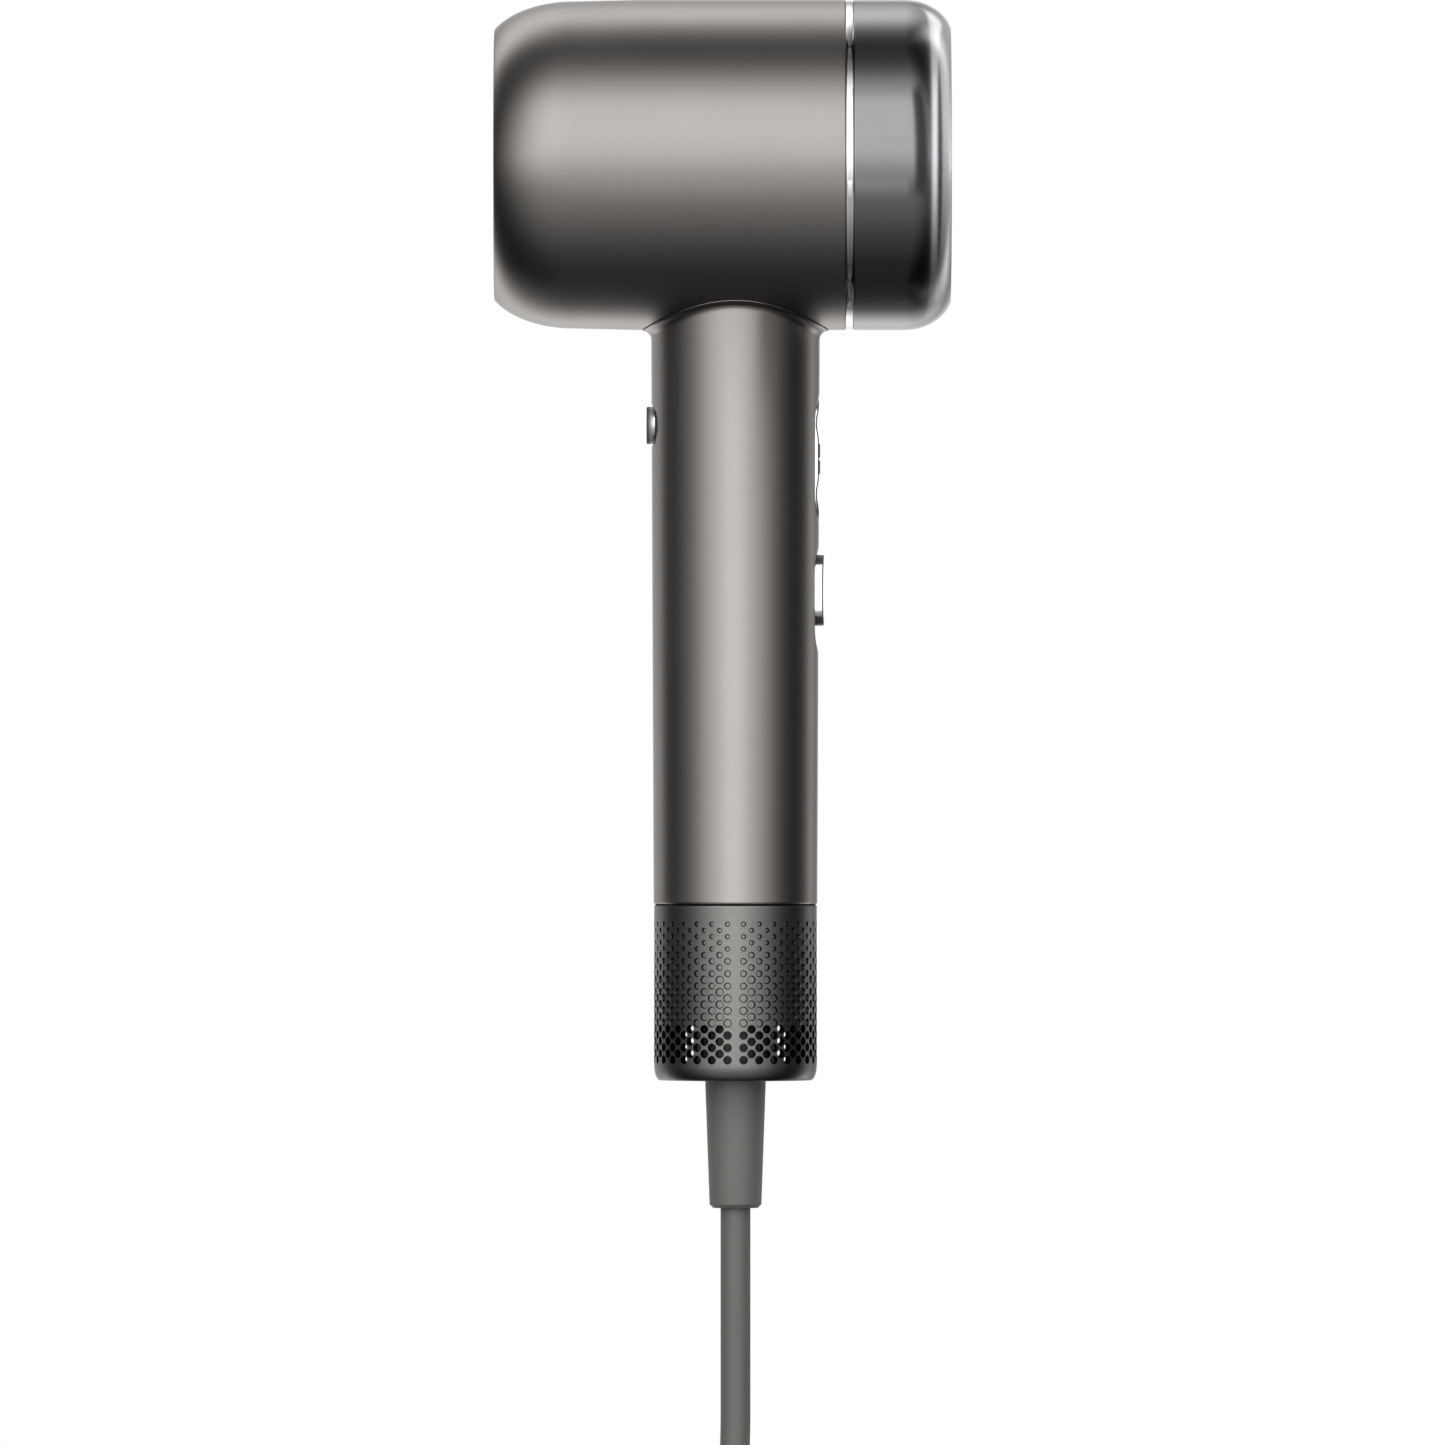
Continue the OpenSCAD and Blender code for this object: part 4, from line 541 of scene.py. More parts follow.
def cut_away(piece, *cutters, sharp=28):
    """Takes closed shapes out of a piece, one after the other, and keeps the result as
    the piece's own mesh."""
    for grid in cutters:
        tool = bpy.data.objects.new("cutter", closed_mesh("cutter", [grid], sharp))
        bpy.context.scene.collection.objects.link(tool)
        step = piece.modifiers.new("cut", "BOOLEAN")
        step.operation, step.solver, step.object = "DIFFERENCE", "EXACT", tool
        bpy.context.view_layer.update()
        cut = bpy.data.meshes.new_from_object(
            piece.evaluated_get(bpy.context.evaluated_depsgraph_get()))
        piece.modifiers.clear()
        old, piece.data = piece.data, cut
        bpy.data.meshes.remove(old)
        bpy.data.meshes.remove(tool.data)        # which takes the tool with it
    piece.data.shade_smooth()
    piece.data.set_sharp_from_angle(angle=np.radians(sharp))


def oblong(width, low, high):
    """A rectangle, as points (across, height)."""
    half = width / 2
    return np.array([[-half, low], [half, low], [half, high], [-half, high]])


flat_x, mill_r = 18.05, 19.0
pad_z, slider_z, cool_z = -29.35, -59.15, -21.7
speed_z, heat_z, bore_r, cool_bore_r = -21.35, -37.35, 4.25, 4.75
scoop_r, scoop_x = 9.2, 17.65
scoop_angle = np.radians(np.linspace(0, 360, 97)[:-1])
scoop_outline = np.column_stack([-scoop_x - scoop_r + scoop_r * np.cos(scoop_angle),
                                 cool_z + scoop_r * np.sin(scoop_angle)])


def disc_at(z, r, steps=96):
    """A circle of radius r round height z, as points (across, height)."""
    a = np.linspace(0, 2 * np.pi, steps + 1)[:-1]
    return np.column_stack([r * np.cos(a), z + r * np.sin(a)])


knob_pocket, pocket_x = round_slot(8.6, 21.5) + [0, slider_z - 2.4], 17.75
# How far the cutters reach: to each side, outside the tube, and inside its wall.
aside, outside, inside = 25, 23.0, 15.0
cut_away(
    handle_tube,
    prism(milled(-14.5, -44.2, flat_x, mill_r), -aside, aside, 1),
    prism(milled(-48.9, -74.2, flat_x, mill_r), -aside, aside, 1),
    prism(scoop_outline, -aside, aside, 1),
    prism(knob_pocket, pocket_x, outside, 0),
    prism(oblong(4.2, -66.25, -56.85), inside, outside, 0),
    prism(disc_at(speed_z, bore_r), inside, outside, 0),
    prism(disc_at(heat_z, bore_r), inside, outside, 0),
    prism(disc_at(cool_z, cool_bore_r), -outside, -inside, 0))

# ---------------------------------------------------------------- control pad
# The pad is a die-cast and plated plate, glued on the upper flat. Its face dips in a
# smooth wave at each of the two press buttons, whose caps follow the same wave. Its satin
# plate blurs the room more than the polished caps do.
silver_satin = satin_metal("satin_silver_plate", "#d9d9d7", 0.2, grain=0.4, flake=0.02,
                           height=0.002)
silver_bright = satin_metal("polished_silver_plate", "#e4e4e2", 0.13, grain=0.8, flake=0.01,
                            height=0.001)
pad_top_x, dip_depth, dip_half = 18.95, 0.45, 4.15


def paint_shade(material, mask, colour, roughness, metallic):
    """Paints shade: turns a finish into another, darker one where the mask is 1."""
    shader = material.node_tree.nodes["Principled BSDF"]
    for socket, value, kind in (("Base Color", paint_of(colour), "RGBA"),
                                ("Roughness", roughness, "FLOAT"),
                                ("Metallic", metallic, "FLOAT")):
        links = shader.inputs[socket].links
        if not links and shader.inputs[socket].default_value == value:
            continue                     # the same in both finishes, so it stays as it is
        before = links[0].from_socket if links else shader.inputs[socket].default_value
        mixed = add(material, "ShaderNodeMix", {"Factor": mask, "A": before, "B": value},
                    data_type=kind)
        material.node_tree.links.new(mixed.outputs["Result"], shader.inputs[socket])


def edges_of(material):
    """Mask of the broken edges: there the part of the outward direction along X lies
    between a wall's, 0, and a face's, 1."""
    outward = add(material, "ShaderNodeSeparateXYZ",
                  {"Vector": add(material, "ShaderNodeTexCoord").outputs["Normal"]})
    lean = add(material, "ShaderNodeMath", {0: outward.outputs["X"]}, operation="ABSOLUTE")
    past_wall = add(material, "ShaderNodeMapRange", {"Value": lean.outputs["Value"],
                                                     "From Min": 0.15, "From Max": 0.25})
    return add(material, "ShaderNodeMapRange",
               {"Value": lean.outputs["Value"], "From Min": 0.97, "From Max": 0.95,
                "To Max": past_wall.outputs["Result"]}).outputs["Result"]


# Painted shade: the plated parts' broken edges, found by the way they face, are painted dull
# and dark as a dark outline.
for silver in (silver_satin, silver_bright):
    paint_shade(silver, edges_of(silver), "#3b3b3a", 0.6, 0.0)


def pad_face(z):
    """Distance of the pad's face from the handle's axis: level, less one wave of a cosine
    at each button."""
    dips = [(1 + np.cos(np.pi * np.clip((z - at) / dip_half, -1, 1))) / 2
            for at in (speed_z, heat_z)]
    return pad_top_x - dip_depth * sum(dips)


def pad_foot(z):
    """The milled flat under the pad: level, then up along the cutter's radius R, which is
    R - sqrt(R^2 - d^2) at d past the end of the level part."""
    level_half, glue = 8.48, 0.05
    past_level = np.clip(np.abs(z - pad_z) - level_half, 0, 6)
    return flat_x + glue + mill_r - np.sqrt(mill_r ** 2 - past_level ** 2)


def broken_edge(edge, steps=7):
    """A soft chamfer from a wall to a face, as (drawn in, sunk) pairs: three tenths of
    a quarter circle, 1 - cos t and 1 - sin t, and seven tenths of its chord."""
    t = np.linspace(0, 1, steps)
    arc = np.column_stack([1 - np.cos(t * np.pi / 2), 1 - np.sin(t * np.pi / 2)])
    return edge * (0.3 * arc + 0.7 * np.column_stack([t, 1 - t]))


def round_ended_plate(width, length, middle_z, foot, face, edge, steps=60):
    """A plate with round ends and a rounded upper edge, from a foot to a face that both
    depend on height. Its rings are the outline, drawn in by ever more: w is what is left
    of the half width, and the straight part keeps its length."""
    straight = (length - width) / 2
    turn = np.radians(np.linspace(0, 180, 49))
    run = np.linspace(straight, -straight, steps)[1:-1]
    across = np.concatenate([np.cos(turn), 0 * run - 1, -np.cos(turn), 0 * run + 1, [1.0]])
    along = np.concatenate([np.sin(turn), 0 * run, -np.sin(turn), 0 * run, [0.0]])
    base = np.concatenate([0 * turn + straight, run, 0 * turn - straight, -run, [straight]])
    bevel = broken_edge(1.0)
    half = width / 2
    w = np.concatenate([[0, half], half - edge * bevel[:, 0],
                        np.linspace(half - edge, 0, 12)[1:]])[:, None]
    sunk = np.concatenate([[1, 1], bevel[:, 1], np.zeros(11)])[:, None]
    y, z = w * across, middle_z + base + w * along
    thick = np.maximum(face(z) - foot(z), 0.02)      # never quite nothing
    x = face(z) - np.minimum(edge, 0.9 * thick) * sunk
    x[:2] = (face(z) - thick)[:2]
    return np.stack([x, y, z], -1)


def turned_button(side, z, profile, cap_r, edge, face, steps=96):
    """A button turned round a line along X at height z. The profile (r, x) leads from the
    foot of the stem to the cap, whose rounded edge and face follow face(height, r)."""
    a = np.linspace(0, 2 * np.pi, steps + 1)[None, :]
    bevel = broken_edge(edge)
    profile = np.array(profile, float)
    r = np.concatenate([profile[:, 0], cap_r - bevel[:, 0],
                        np.linspace(cap_r - edge, 0, 14)[1:]])[:, None] + 0 * a
    sunk = np.concatenate([bevel[:, 1], np.zeros(13)])[:, None]
    x = 0 * r
    x[:len(profile)] = profile[:, 1:]
    height = z + r[len(profile):] * np.sin(a)
    x[len(profile):] = face(height, r[len(profile):]) - sunk
    return np.stack([side * x, r * np.cos(a), z + r * np.sin(a)], -1)


plated_pieces = bpy.data.collections.new("plated_controls")
pad_plate = make_piece("pad_plate", "dryer", "satin_silver", silver_satin,
                       round_ended_plate(11.0, 28.5, pad_z, pad_foot, pad_face, 0.32),
                       sharp=20, instead_of=["control_pad"])
cut_away(pad_plate, *[prism(disc_at(at, bore_r), 17.0, 20.0, 0) for at in (speed_z, heat_z)],
         sharp=20)
plated_pieces.objects.link(pad_plate)
cap_r, stem_r, flange_foot, flange_top = 4.1, 1.6, 15.0, 15.9
stem_and_flange = [(0, 12.9), (stem_r, 12.9), (stem_r, flange_foot), (4.9, flange_foot),
                   (4.9, flange_top), (cap_r, flange_top)]
for name, at in (("speed", speed_z), ("heat", heat_z)):
    plated_pieces.objects.link(make_piece(
        f"{name}_button_cap", f"{name}_button", "polished_silver", silver_bright,
        turned_button(1, at, stem_and_flange, cap_r, 0.15,
                      lambda height, r: pad_face(height)), instead_of=[f"{name}_button"]))

# -------------------------------------------------------------- indicator lenses
# Two small lenses of smoked polycarbonate stand on the raised bar between the buttons.
# They are dark and nearly as glossy as glass.
lens_smoke = soft_plastic("smoked_polycarbonate", "#232324", 1.0, 0.1, 0.02, 0.001)
finish_nodes({"indicator_lenses": lens_smoke})

# ------------------------------------------------------------------ power slider
# The slider's knob is cast and plated, with a shallow dish along its face, and its ends and
# broken edges have painted shade. Its stem passes through the slot in the handle to a foot that
# moves the switch.
slider_silver = satin_metal("plated_slider_painted_dark_ends", "#e4e4e2", 0.16, grain=0.8,
                            flake=0.01, height=0.001)
# Painted shade: the knob's ends, past 5.7 mm from its middle, and its broken edges are painted
# dark and dull.
upright = add(slider_silver, "ShaderNodeSeparateXYZ",
              {"Vector": add(slider_silver, "ShaderNodeTexCoord").outputs["Object"]})
from_middle = add(slider_silver, "ShaderNodeMath",
                  {0: upright.outputs["Z"], 1: -slider_z * MM}, operation="ADD")
from_middle = add(slider_silver, "ShaderNodeMath", {0: from_middle.outputs["Value"]},
                  operation="ABSOLUTE")
unshaded_half = 5.7
end_shade = add(slider_silver, "ShaderNodeMapRange",
              {"Value": from_middle.outputs["Value"], "From Min": unshaded_half * MM,
               "From Max": (unshaded_half + 0.3) * MM})
end_shade = add(slider_silver, "ShaderNodeMath",
              {0: end_shade.outputs["Result"], 1: edges_of(slider_silver)},
              operation="MAXIMUM")
paint_shade(slider_silver, end_shade.outputs["Value"], "#454443", 0.4, 0.0)
# The dish is part of a circle of radius R, which rises by nearly d^2 / 2R at d from its
# middle.
knob_foot, stem_foot, slide_foot, dish_x, dish_r = 18.0, 15.9, 14.6, 19.85, 108.2
slider_knob = make_piece(
    "slider_knob", "power_slider", "polished_silver", slider_silver,
    round_ended_plate(8.0, 16.1, slider_z, lambda z: knob_foot + 0 * z,
                      lambda z: dish_x + (z - slider_z) ** 2 / (2 * dish_r), 0.3),
    prism(oblong(3.6, slider_z - 2, slider_z + 2), stem_foot, knob_foot, 0),
    prism(oblong(8.4, slider_z - 5, slider_z + 5), slide_foot, stem_foot, 0),
    sharp=20, instead_of=["power_slider"])
# A socket in its foot takes the switch's lever. This cut also drops the stem, so that the
# piece is a plate and a foot with nothing between them. That doesn't show from outside.
cut_away(slider_knob, prism(oblong(1.9, -60.2, -58.1), 14.0, 15.25, 0), sharp=20)
plated_pieces.objects.link(slider_knob)

# ------------------------------------------------------------------- cool button
# The cool-air button is turned from brass and plated. It has a flat face, which falls off
# slightly towards its rounded edge, and it stands in a scoop in the handle's back.
cool_cap_r, cool_face_x, flat_r, fall = 4.25, 20.35, 2.5, 0.2
cool_stem = [(0, 13.5), (stem_r, 13.5), (stem_r, flange_foot), (5.2, flange_foot),
             (5.2, flange_top), (cool_cap_r, flange_top)]
plated_pieces.objects.link(make_piece(
    "cool_button_cap", "cool_button", "polished_silver", silver_bright,
    turned_button(-1, cool_z, cool_stem, cool_cap_r, 0.2,
                  lambda height, r: cool_face_x - fall * np.clip(
                      (r - flat_r) / (cool_cap_r - flat_r), 0, 1) ** 2),
    instead_of=["cool_button"]))

# ------------------------------------------------------------ boards and switches
# Two circuit boards of green solder-masked glass laminate ride in a nylon carrier, with
# black moulded switches and components soldered on.
seal_rubber = soft_plastic("moulded_silicone_black", "#1f1f20", 0.5, 0.55)
board_green = soft_plastic("solder_masked_laminate", "#24573a", 0.6, 0.3, 0.05, 0.01)
component_black = soft_plastic("moulded_epoxy_black", "#222224", 0.4, 0.45)
finish_nodes({
    "board_carrier": nylon_black, "control_board": board_green, "cool_board": board_green,
    "motor_board": board_green, "board_components": component_black,
    "power_switch": nylon_black, "switch_lever": zinc, "tact_switches": nylon_black,
    "cool_switch": nylon_black, "cool_seal": seal_rubber})

# ----------------------------------------------------------------------- motor
# The motor's housing, hub and impeller are turned and milled from aluminium. The stator
# is stacked steel with copper windings, and rubber rings hold the housing in the handle.
# Ground bearings shine most, and the edges of stacked sheets least.
turned_alloy = satin_metal("milled_aluminium", "#c3c5c8", 0.26, grain=0.35, flake=0.04)
stacked_steel = satin_metal("stacked_silicon_steel", "#77797c", 0.36, grain=0.35)
wound_copper = satin_metal("enamelled_copper_wire", "#b0613a", 0.3, grain=0.4, flake=0.1)
ground_steel = satin_metal("ground_bearing_steel", "#cfd0d2", 0.14, grain=0.5, flake=0.02)
finish_nodes({
    "motor_housing": turned_alloy, "impeller": turned_alloy, "motor_mounts": seal_rubber,
    "motor_stator": stacked_steel, "stator_coils": wound_copper,
    "motor_bearings": ground_steel, "rotor_shaft": ground_steel, "rotor_magnet": nickel})

# --------------------------------------------------------------- inlet sleeve
# The sleeve is a thin aluminium tube with a satin charcoal coat. Its staggered field of
# holes starts as shallow pressed dimples, which grow downwards until the last six rows
# are drilled through to the inlet. Four plain ribs are left between the fields.
sleeve_r, sleeve_in_r, sleeve_top, sleeve_end = 18.5, 17.4, -130.75, -170.5
columns, row_pitch, hole_rows, through_rows = 64, 1.4, 23, 6
lowest_row, foot_top, floor_top = sleeve_end + 4.8, sleeve_end + 3.5, sleeve_end + 1.6
dimple_floor_r, dimple_draft, drilled_in_r, cord_bore_r = 18.02, 0.22, 16.85, 9.15
charcoal_coat = satin_metal("satin_charcoal_coat", "#72716f", 0.34, grain=0.3, flake=0.1)
# Painted shade: the walls of the dimples and holes are painted dark and rough, for the shade in
# them. They are above the foot, where the radius, the square root of x^2 + y^2, is less than
# the outer face's and isn't that of the dimples' floors.
on_piece = add(charcoal_coat, "ShaderNodeTexCoord").outputs["Object"]
level = add(charcoal_coat, "ShaderNodeVectorMath", {0: on_piece, 1: (1, 1, 0)},
            operation="MULTIPLY")
radius = add(charcoal_coat, "ShaderNodeVectorMath", {0: level.outputs["Vector"]},
             operation="LENGTH")
upright = add(charcoal_coat, "ShaderNodeSeparateXYZ", {"Vector": on_piece})
above_foot = add(charcoal_coat, "ShaderNodeMapRange",
                 {"Value": upright.outputs["Z"], "From Min": foot_top * MM,
                  "From Max": (foot_top + 0.1) * MM})
below_face = add(charcoal_coat, "ShaderNodeMapRange",
                 {"Value": radius.outputs["Value"], "From Min": (sleeve_r - 0.06) * MM,
                  "From Max": (sleeve_r - 0.1) * MM, "To Max": above_foot.outputs["Result"]})
from_floor = add(charcoal_coat, "ShaderNodeMath",
                 {0: radius.outputs["Value"], 1: dimple_floor_r * MM}, operation="SUBTRACT")
from_floor = add(charcoal_coat, "ShaderNodeMath", {0: from_floor.outputs["Value"]},
                 operation="ABSOLUTE")
hole_wall_shade = add(charcoal_coat, "ShaderNodeMapRange",
                {"Value": from_floor.outputs["Value"], "From Min": 0.03 * MM,
                 "From Max": 0.05 * MM, "To Max": below_face.outputs["Result"]})
paint_shade(charcoal_coat, hole_wall_shade.outputs["Result"], "#1a1a19", 0.6, 1.0)


def on_sleeve(u, z, r):
    """Point at half column u, height z and radius r: the angle is 360 u / 64 degrees,
    counted from the front."""
    a = np.radians(-90 + 360 * u / columns)
    return np.stack([r * np.cos(a), r * np.sin(a), z + 0 * a], -1)


# Each hole sits in its own diamond, whose corners are its neighbours in the staggered
# field, so the diamonds fill the sleeve without a gap.
per_edge = 5
corner = np.array([[1.0, 0.0], [0.0, 1.0], [-1.0, 0.0], [0.0, -1.0], [1.0, 0.0]])
step = np.linspace(0, 1, per_edge, endpoint=False)[:, None]
diamond = np.vstack([corner[k] + (corner[k + 1] - corner[k]) * step for k in range(4)]
                    + [corner[:1]])
half_column = 2 * np.pi * sleeve_r / columns
around = np.arctan2(diamond[:, 1] * row_pitch, diamond[:, 0] * half_column)
cell_u, cell_row = np.meshgrid(np.arange(columns), np.arange(hole_rows), indexing="ij")
staggered = (cell_u + cell_row) % 2 == 1
cell_u, cell_row = cell_u[staggered], cell_row[staggered]
ribs = cell_u % (columns // 4) == 0
through = ~ribs & (cell_row < through_rows)
pressed = ~ribs & ~through
# Row 0 is the lowest. The radii are those of six drilled rows, then six rows of dimples,
# one smaller, one like the six, four smaller and five smaller still.
hole_r = np.repeat([1.0, 0.975, 0.82, 0.975, 0.78, 0.61], [6, 6, 1, 1, 4, 5])[cell_row]


def cell_rings(chosen, radius, r):
    """For each chosen diamond, a ring of points at r from the sleeve's axis: where radius
    is None the diamond's own edge, or else a circle of that radius round its hole."""
    u = cell_u[chosen][:, None]
    z = lowest_row + cell_row[chosen][:, None] * row_pitch
    if radius is None:
        du, dz = diamond[None, :, 0], diamond[None, :, 1] * row_pitch
    else:
        du = radius[chosen][:, None] * np.cos(around)[None, :] / half_column
        dz = radius[chosen][:, None] * np.sin(around)[None, :]
    return on_sleeve(u + du, z + dz, r)


def grid_per_diamond(chosen, *rings):
    """A grid for each chosen diamond, from (radius, r) pairs. Its rows are the rings that
    they give, from the first to the last."""
    rings = [cell_rings(chosen, radius, r) for radius, r in rings]
    return list(np.stack(rings, axis=1))


middle = np.zeros(len(cell_u))
sleeve_grids = [
    *grid_per_diamond(ribs, (None, sleeve_r), (middle, sleeve_r)),
    *grid_per_diamond(pressed, (None, sleeve_r), (hole_r, sleeve_r),
                      (hole_r - dimple_draft, dimple_floor_r), (middle, dimple_floor_r)),
    *grid_per_diamond(through, (None, sleeve_r), (hole_r, sleeve_r),
                      (hole_r, drilled_in_r), (None, drilled_in_r)),
    *grid_per_diamond(ribs & (cell_row < through_rows),
                      (middle, drilled_in_r), (None, drilled_in_r))]

# The field's zigzag edges are filled up to level lines, where plain bands take over.
edge_u = np.arange(columns * per_edge + 1) / per_edge


def zigzag(row, outwards):
    """Height of the field's edge at each half column: a triangle wave with its points
    one row pitch beyond the centres of the edge row's diamonds."""
    away = np.abs((edge_u + row + 1) % 2 - 1)
    return lowest_row + row * row_pitch + outwards * row_pitch * away


def band(*stations):
    """Plain bands round the sleeve through (height, radius) stations. A height may be a
    whole line of heights."""
    return np.stack([on_sleeve(edge_u, z + 0 * edge_u, r) for z, r in stations])


upper_edge = zigzag(hole_rows - 1, 1)
lower_edge = zigzag(0, -1)
inner_edge = zigzag(through_rows - 1, 1)
# The foot turns in along a quarter of an ellipse.
foot_rise, foot_turn = foot_top - sleeve_end, 1.4
foot_line = [(foot_top - foot_rise * np.cos(f), sleeve_r - foot_turn * (1 - np.sin(f)))
             for f in np.radians(np.linspace(0, 90, 13))]
# A lip inside the upper edge fills the seam under the handle.
edge_break, lip_out_r, lip_top, level_by = 0.12, sleeve_r - 0.25, sleeve_top + 0.3, 0.4
inner_step = inner_edge.max() + level_by
sleeve_grids += [
    band((foot_top, drilled_in_r), (floor_top, 16.0), (floor_top, cord_bore_r),
         (sleeve_end, cord_bore_r), (sleeve_end, 16.9), *foot_line),
    band((foot_top, sleeve_r), (lower_edge, sleeve_r)),
    band((lower_edge, drilled_in_r), (foot_top, drilled_in_r)),
    band((upper_edge, sleeve_r), (upper_edge.max() + level_by, sleeve_r),
         (sleeve_top - level_by, sleeve_r), (sleeve_top - edge_break, sleeve_r),
         (sleeve_top - 0.03, sleeve_r - 0.04), (sleeve_top, sleeve_r - edge_break),
         (sleeve_top, lip_out_r), (lip_top, lip_out_r), (lip_top, sleeve_in_r),
         (inner_step, sleeve_in_r), (inner_step, drilled_in_r), (inner_edge, drilled_in_r))]


def stiffening_fin(u):
    """An upright fin of about 0.4 by 1.1 mm inside the sleeve at half column u. Its section
    is carried up from the floor to just above the drilled rows, and each end is filled to
    its middle."""
    half_wide, out_r, in_r, middle_r = 0.12, 17.0, 15.9, 16.4
    low, high = floor_top - 0.05, -156.6
    across = half_wide * np.array([-1, 1, 1, -1, -1])
    out = np.array([out_r, out_r, in_r, in_r, out_r])
    size = np.array([0, 1, 1, 0])[:, None]
    height = np.array([low, low, high, high])[:, None]
    return on_sleeve(u + size * across, height + 0 * across,
                     middle_r + size * (out - middle_r))


fin_u = 8.62
sleeve_grids += [stiffening_fin(u) for u in (-fin_u, fin_u, columns / 2 - fin_u,
                                             columns / 2 + fin_u)]
make_piece("inlet_sleeve", "intake_cover", "charcoal_paint", charcoal_coat, *sleeve_grids,
           instead_of=["filter_cover"])

# -------------------------------------------------------- inlet core and cord entry
# The core is moulded in charcoal glass-filled nylon. It holds the cord's clamp, the
# magnets for the sleeve, and the wire guard under the motor. The strain relief is
# moulded over the cord in soft grey PVC.
nylon_charcoal = soft_plastic("moulded_nylon_charcoal", "#3c3c3c", 0.4, 0.42)
relief_pvc = soft_plastic("moulded_relief_grey", "#716f6c", 0.4, 0.5)
finish_nodes({
    "intake_core": nylon_charcoal, "inlet_guard": zinc, "cover_magnets": nickel,
    "cover_ring": zinc, "cable_clamp": nylon_black, "clamp_screws": zinc,
    "strain_relief": relief_pvc, "cord_inner": cord_pvc, "plug_pins": nickel})

# ---------------------------------------------------------------------- studio
# A pale table top stands in a white room. One large soft lamp hangs above the viewer, and a
# small one stands before the handle. Two ribbons of light and a grey card serve the rear
# cap, and a lamp on each side serves the plated controls.


def staged_sheet(name, points, faces, finish):
    """A sheet, from points in metres, that belongs to the studio and not to the dryer."""
    mesh = bpy.data.meshes.new(name)
    mesh.from_pydata(points.tolist(), [], faces.tolist())
    mesh.materials.append(finish)
    sheet = bpy.data.objects.new(name, mesh)
    bpy.context.scene.collection.objects.link(sheet)
    return sheet


table_r, table_height = 1.4, -0.3                # metres
table_white, table_output, _ = new_material("painted_table_white")
seen = add(table_white, "ShaderNodeMapRange",
           {"Value": add(table_white, "ShaderNodeLightPath").outputs["Is Camera Ray"],
            "To Max": 0.3})
table_shader = add(table_white, "ShaderNodeBsdfPrincipled",
                   {"Base Color": paint_of("#f2f1ef"), "Roughness": 0.7,
                    "Emission Color": (1, 1, 1, 1),
                    "Emission Strength": seen.outputs["Result"]})
table_white.node_tree.links.new(table_shader.outputs["BSDF"],
                                table_output.inputs["Surface"])
rim = np.linspace(0, 2 * np.pi, 129)[:-1]
table_top = staged_sheet(
    "table_top", np.column_stack([table_r * np.cos(rim), table_r * np.sin(rim),
                                  0 * rim + table_height]), np.arange(len(rim))[None],
    table_white)
table_top.visible_glossy = table_top.visible_diffuse = False

# The room is white to the camera and through glass, and to metal straight behind the dryer.
# Everything else sees its soft light, which changes with height and round the object, as
# among large gradient cards. Both are angles from the viewer: up and over the top to the
# back, and round to the right.
light_by_height = [(-180, 0.95), (-164, 1.05), (-149, 2.30), (-136, 1.69), (-123, 0.30),
                   (-114, 0.30), (-105, 0.08), (-95, 0.13), (-77, 0.05), (-65, 0.11),
                   (-50, 0.20), (-33, 0.39), (-17, 0.45), (-3, 1.19), (10, 1.98),
                   (26, 1.38), (36, 1.44), (46, 1.45), (57, 0.96), (69, 0.25), (81, 0.09),
                   (94, 0.18), (102, 0.37), (110, 0.89), (120, 2.57), (129, 2.88),
                   (144, 1.53), (158, 0.50), (170, 0.70), (180, 0.95)]
light_round = [(-180, 0.73), (-150, 0.74), (-128, 0.86), (-117, 0.14), (-106, 0.04),
               (-95, 0.07), (-80, 0.17), (-64, 0.29), (-53, 0.51), (-37, 1.07), (-18, 1.33),
               (0, 1.00), (18, 1.17), (37, 0.80), (53, 0.32), (64, 0.14), (80, 0.03),
               (95, 0.03), (106, 0.03), (117, 0.22), (128, 1.12), (150, 0.23), (180, 0.73)]
room = bpy.data.worlds.new("white_room")
bpy.context.scene.world = room
room.use_nodes = True
room.node_tree.nodes.clear()
way = add(room, "ShaderNodeSeparateXYZ",
          {"Vector": add(room, "ShaderNodeTexCoord").outputs["Generated"]})
forward = add(room, "ShaderNodeMath", {0: way.outputs["Y"], 1: -1.0}, operation="MULTIPLY")


brightest = 3.0


def brightness_along(sideways, stops):
    """Reads a share of the brightest light from a row of stops. Their places are angles
    from the viewer in degrees, atan2(sideways, forward)."""
    angle = add(room, "ShaderNodeMath", {0: sideways, 1: forward.outputs["Value"]},
                operation="ARCTAN2")
    place = add(room, "ShaderNodeMapRange", {"Value": angle.outputs["Value"],
                                             "From Min": -np.pi, "From Max": np.pi})
    ramp = add(room, "ShaderNodeValToRGB", {"Fac": place.outputs["Result"]})
    row = ramp.color_ramp.elements
    for k, (where, level) in enumerate(stops):
        at = (where + 180) / 360
        stop = row[k] if k < 2 else row.new(at)
        stop.position, stop.color = at, (*[level / brightest] * 3, 1)
    return ramp.outputs["Color"]


light = add(room, "ShaderNodeMath",
            {0: brightness_along(way.outputs["Z"], light_by_height),
             1: brightness_along(way.outputs["X"], light_round)}, operation="MULTIPLY")
light = add(room, "ShaderNodeMath", {0: light.outputs["Value"], 1: brightest ** 2},
            operation="MULTIPLY")
ray = add(room, "ShaderNodeLightPath")
behind = add(room, "ShaderNodeMapRange",
             {"Value": way.outputs["Y"], "From Min": 0.92, "From Max": 0.97,
              "To Max": ray.outputs["Is Glossy Ray"]})
clear = add(room, "ShaderNodeMath", {0: ray.outputs["Is Camera Ray"],
                                     1: ray.outputs["Is Transmission Ray"]},
            operation="MAXIMUM")
clear = add(room, "ShaderNodeMath", {0: clear.outputs["Value"],
                                     1: behind.outputs["Result"]}, operation="MAXIMUM")
bright = add(room, "ShaderNodeMapRange", {"Value": clear.outputs["Value"],
                                          "To Min": light.outputs["Value"], "To Max": 1.0})
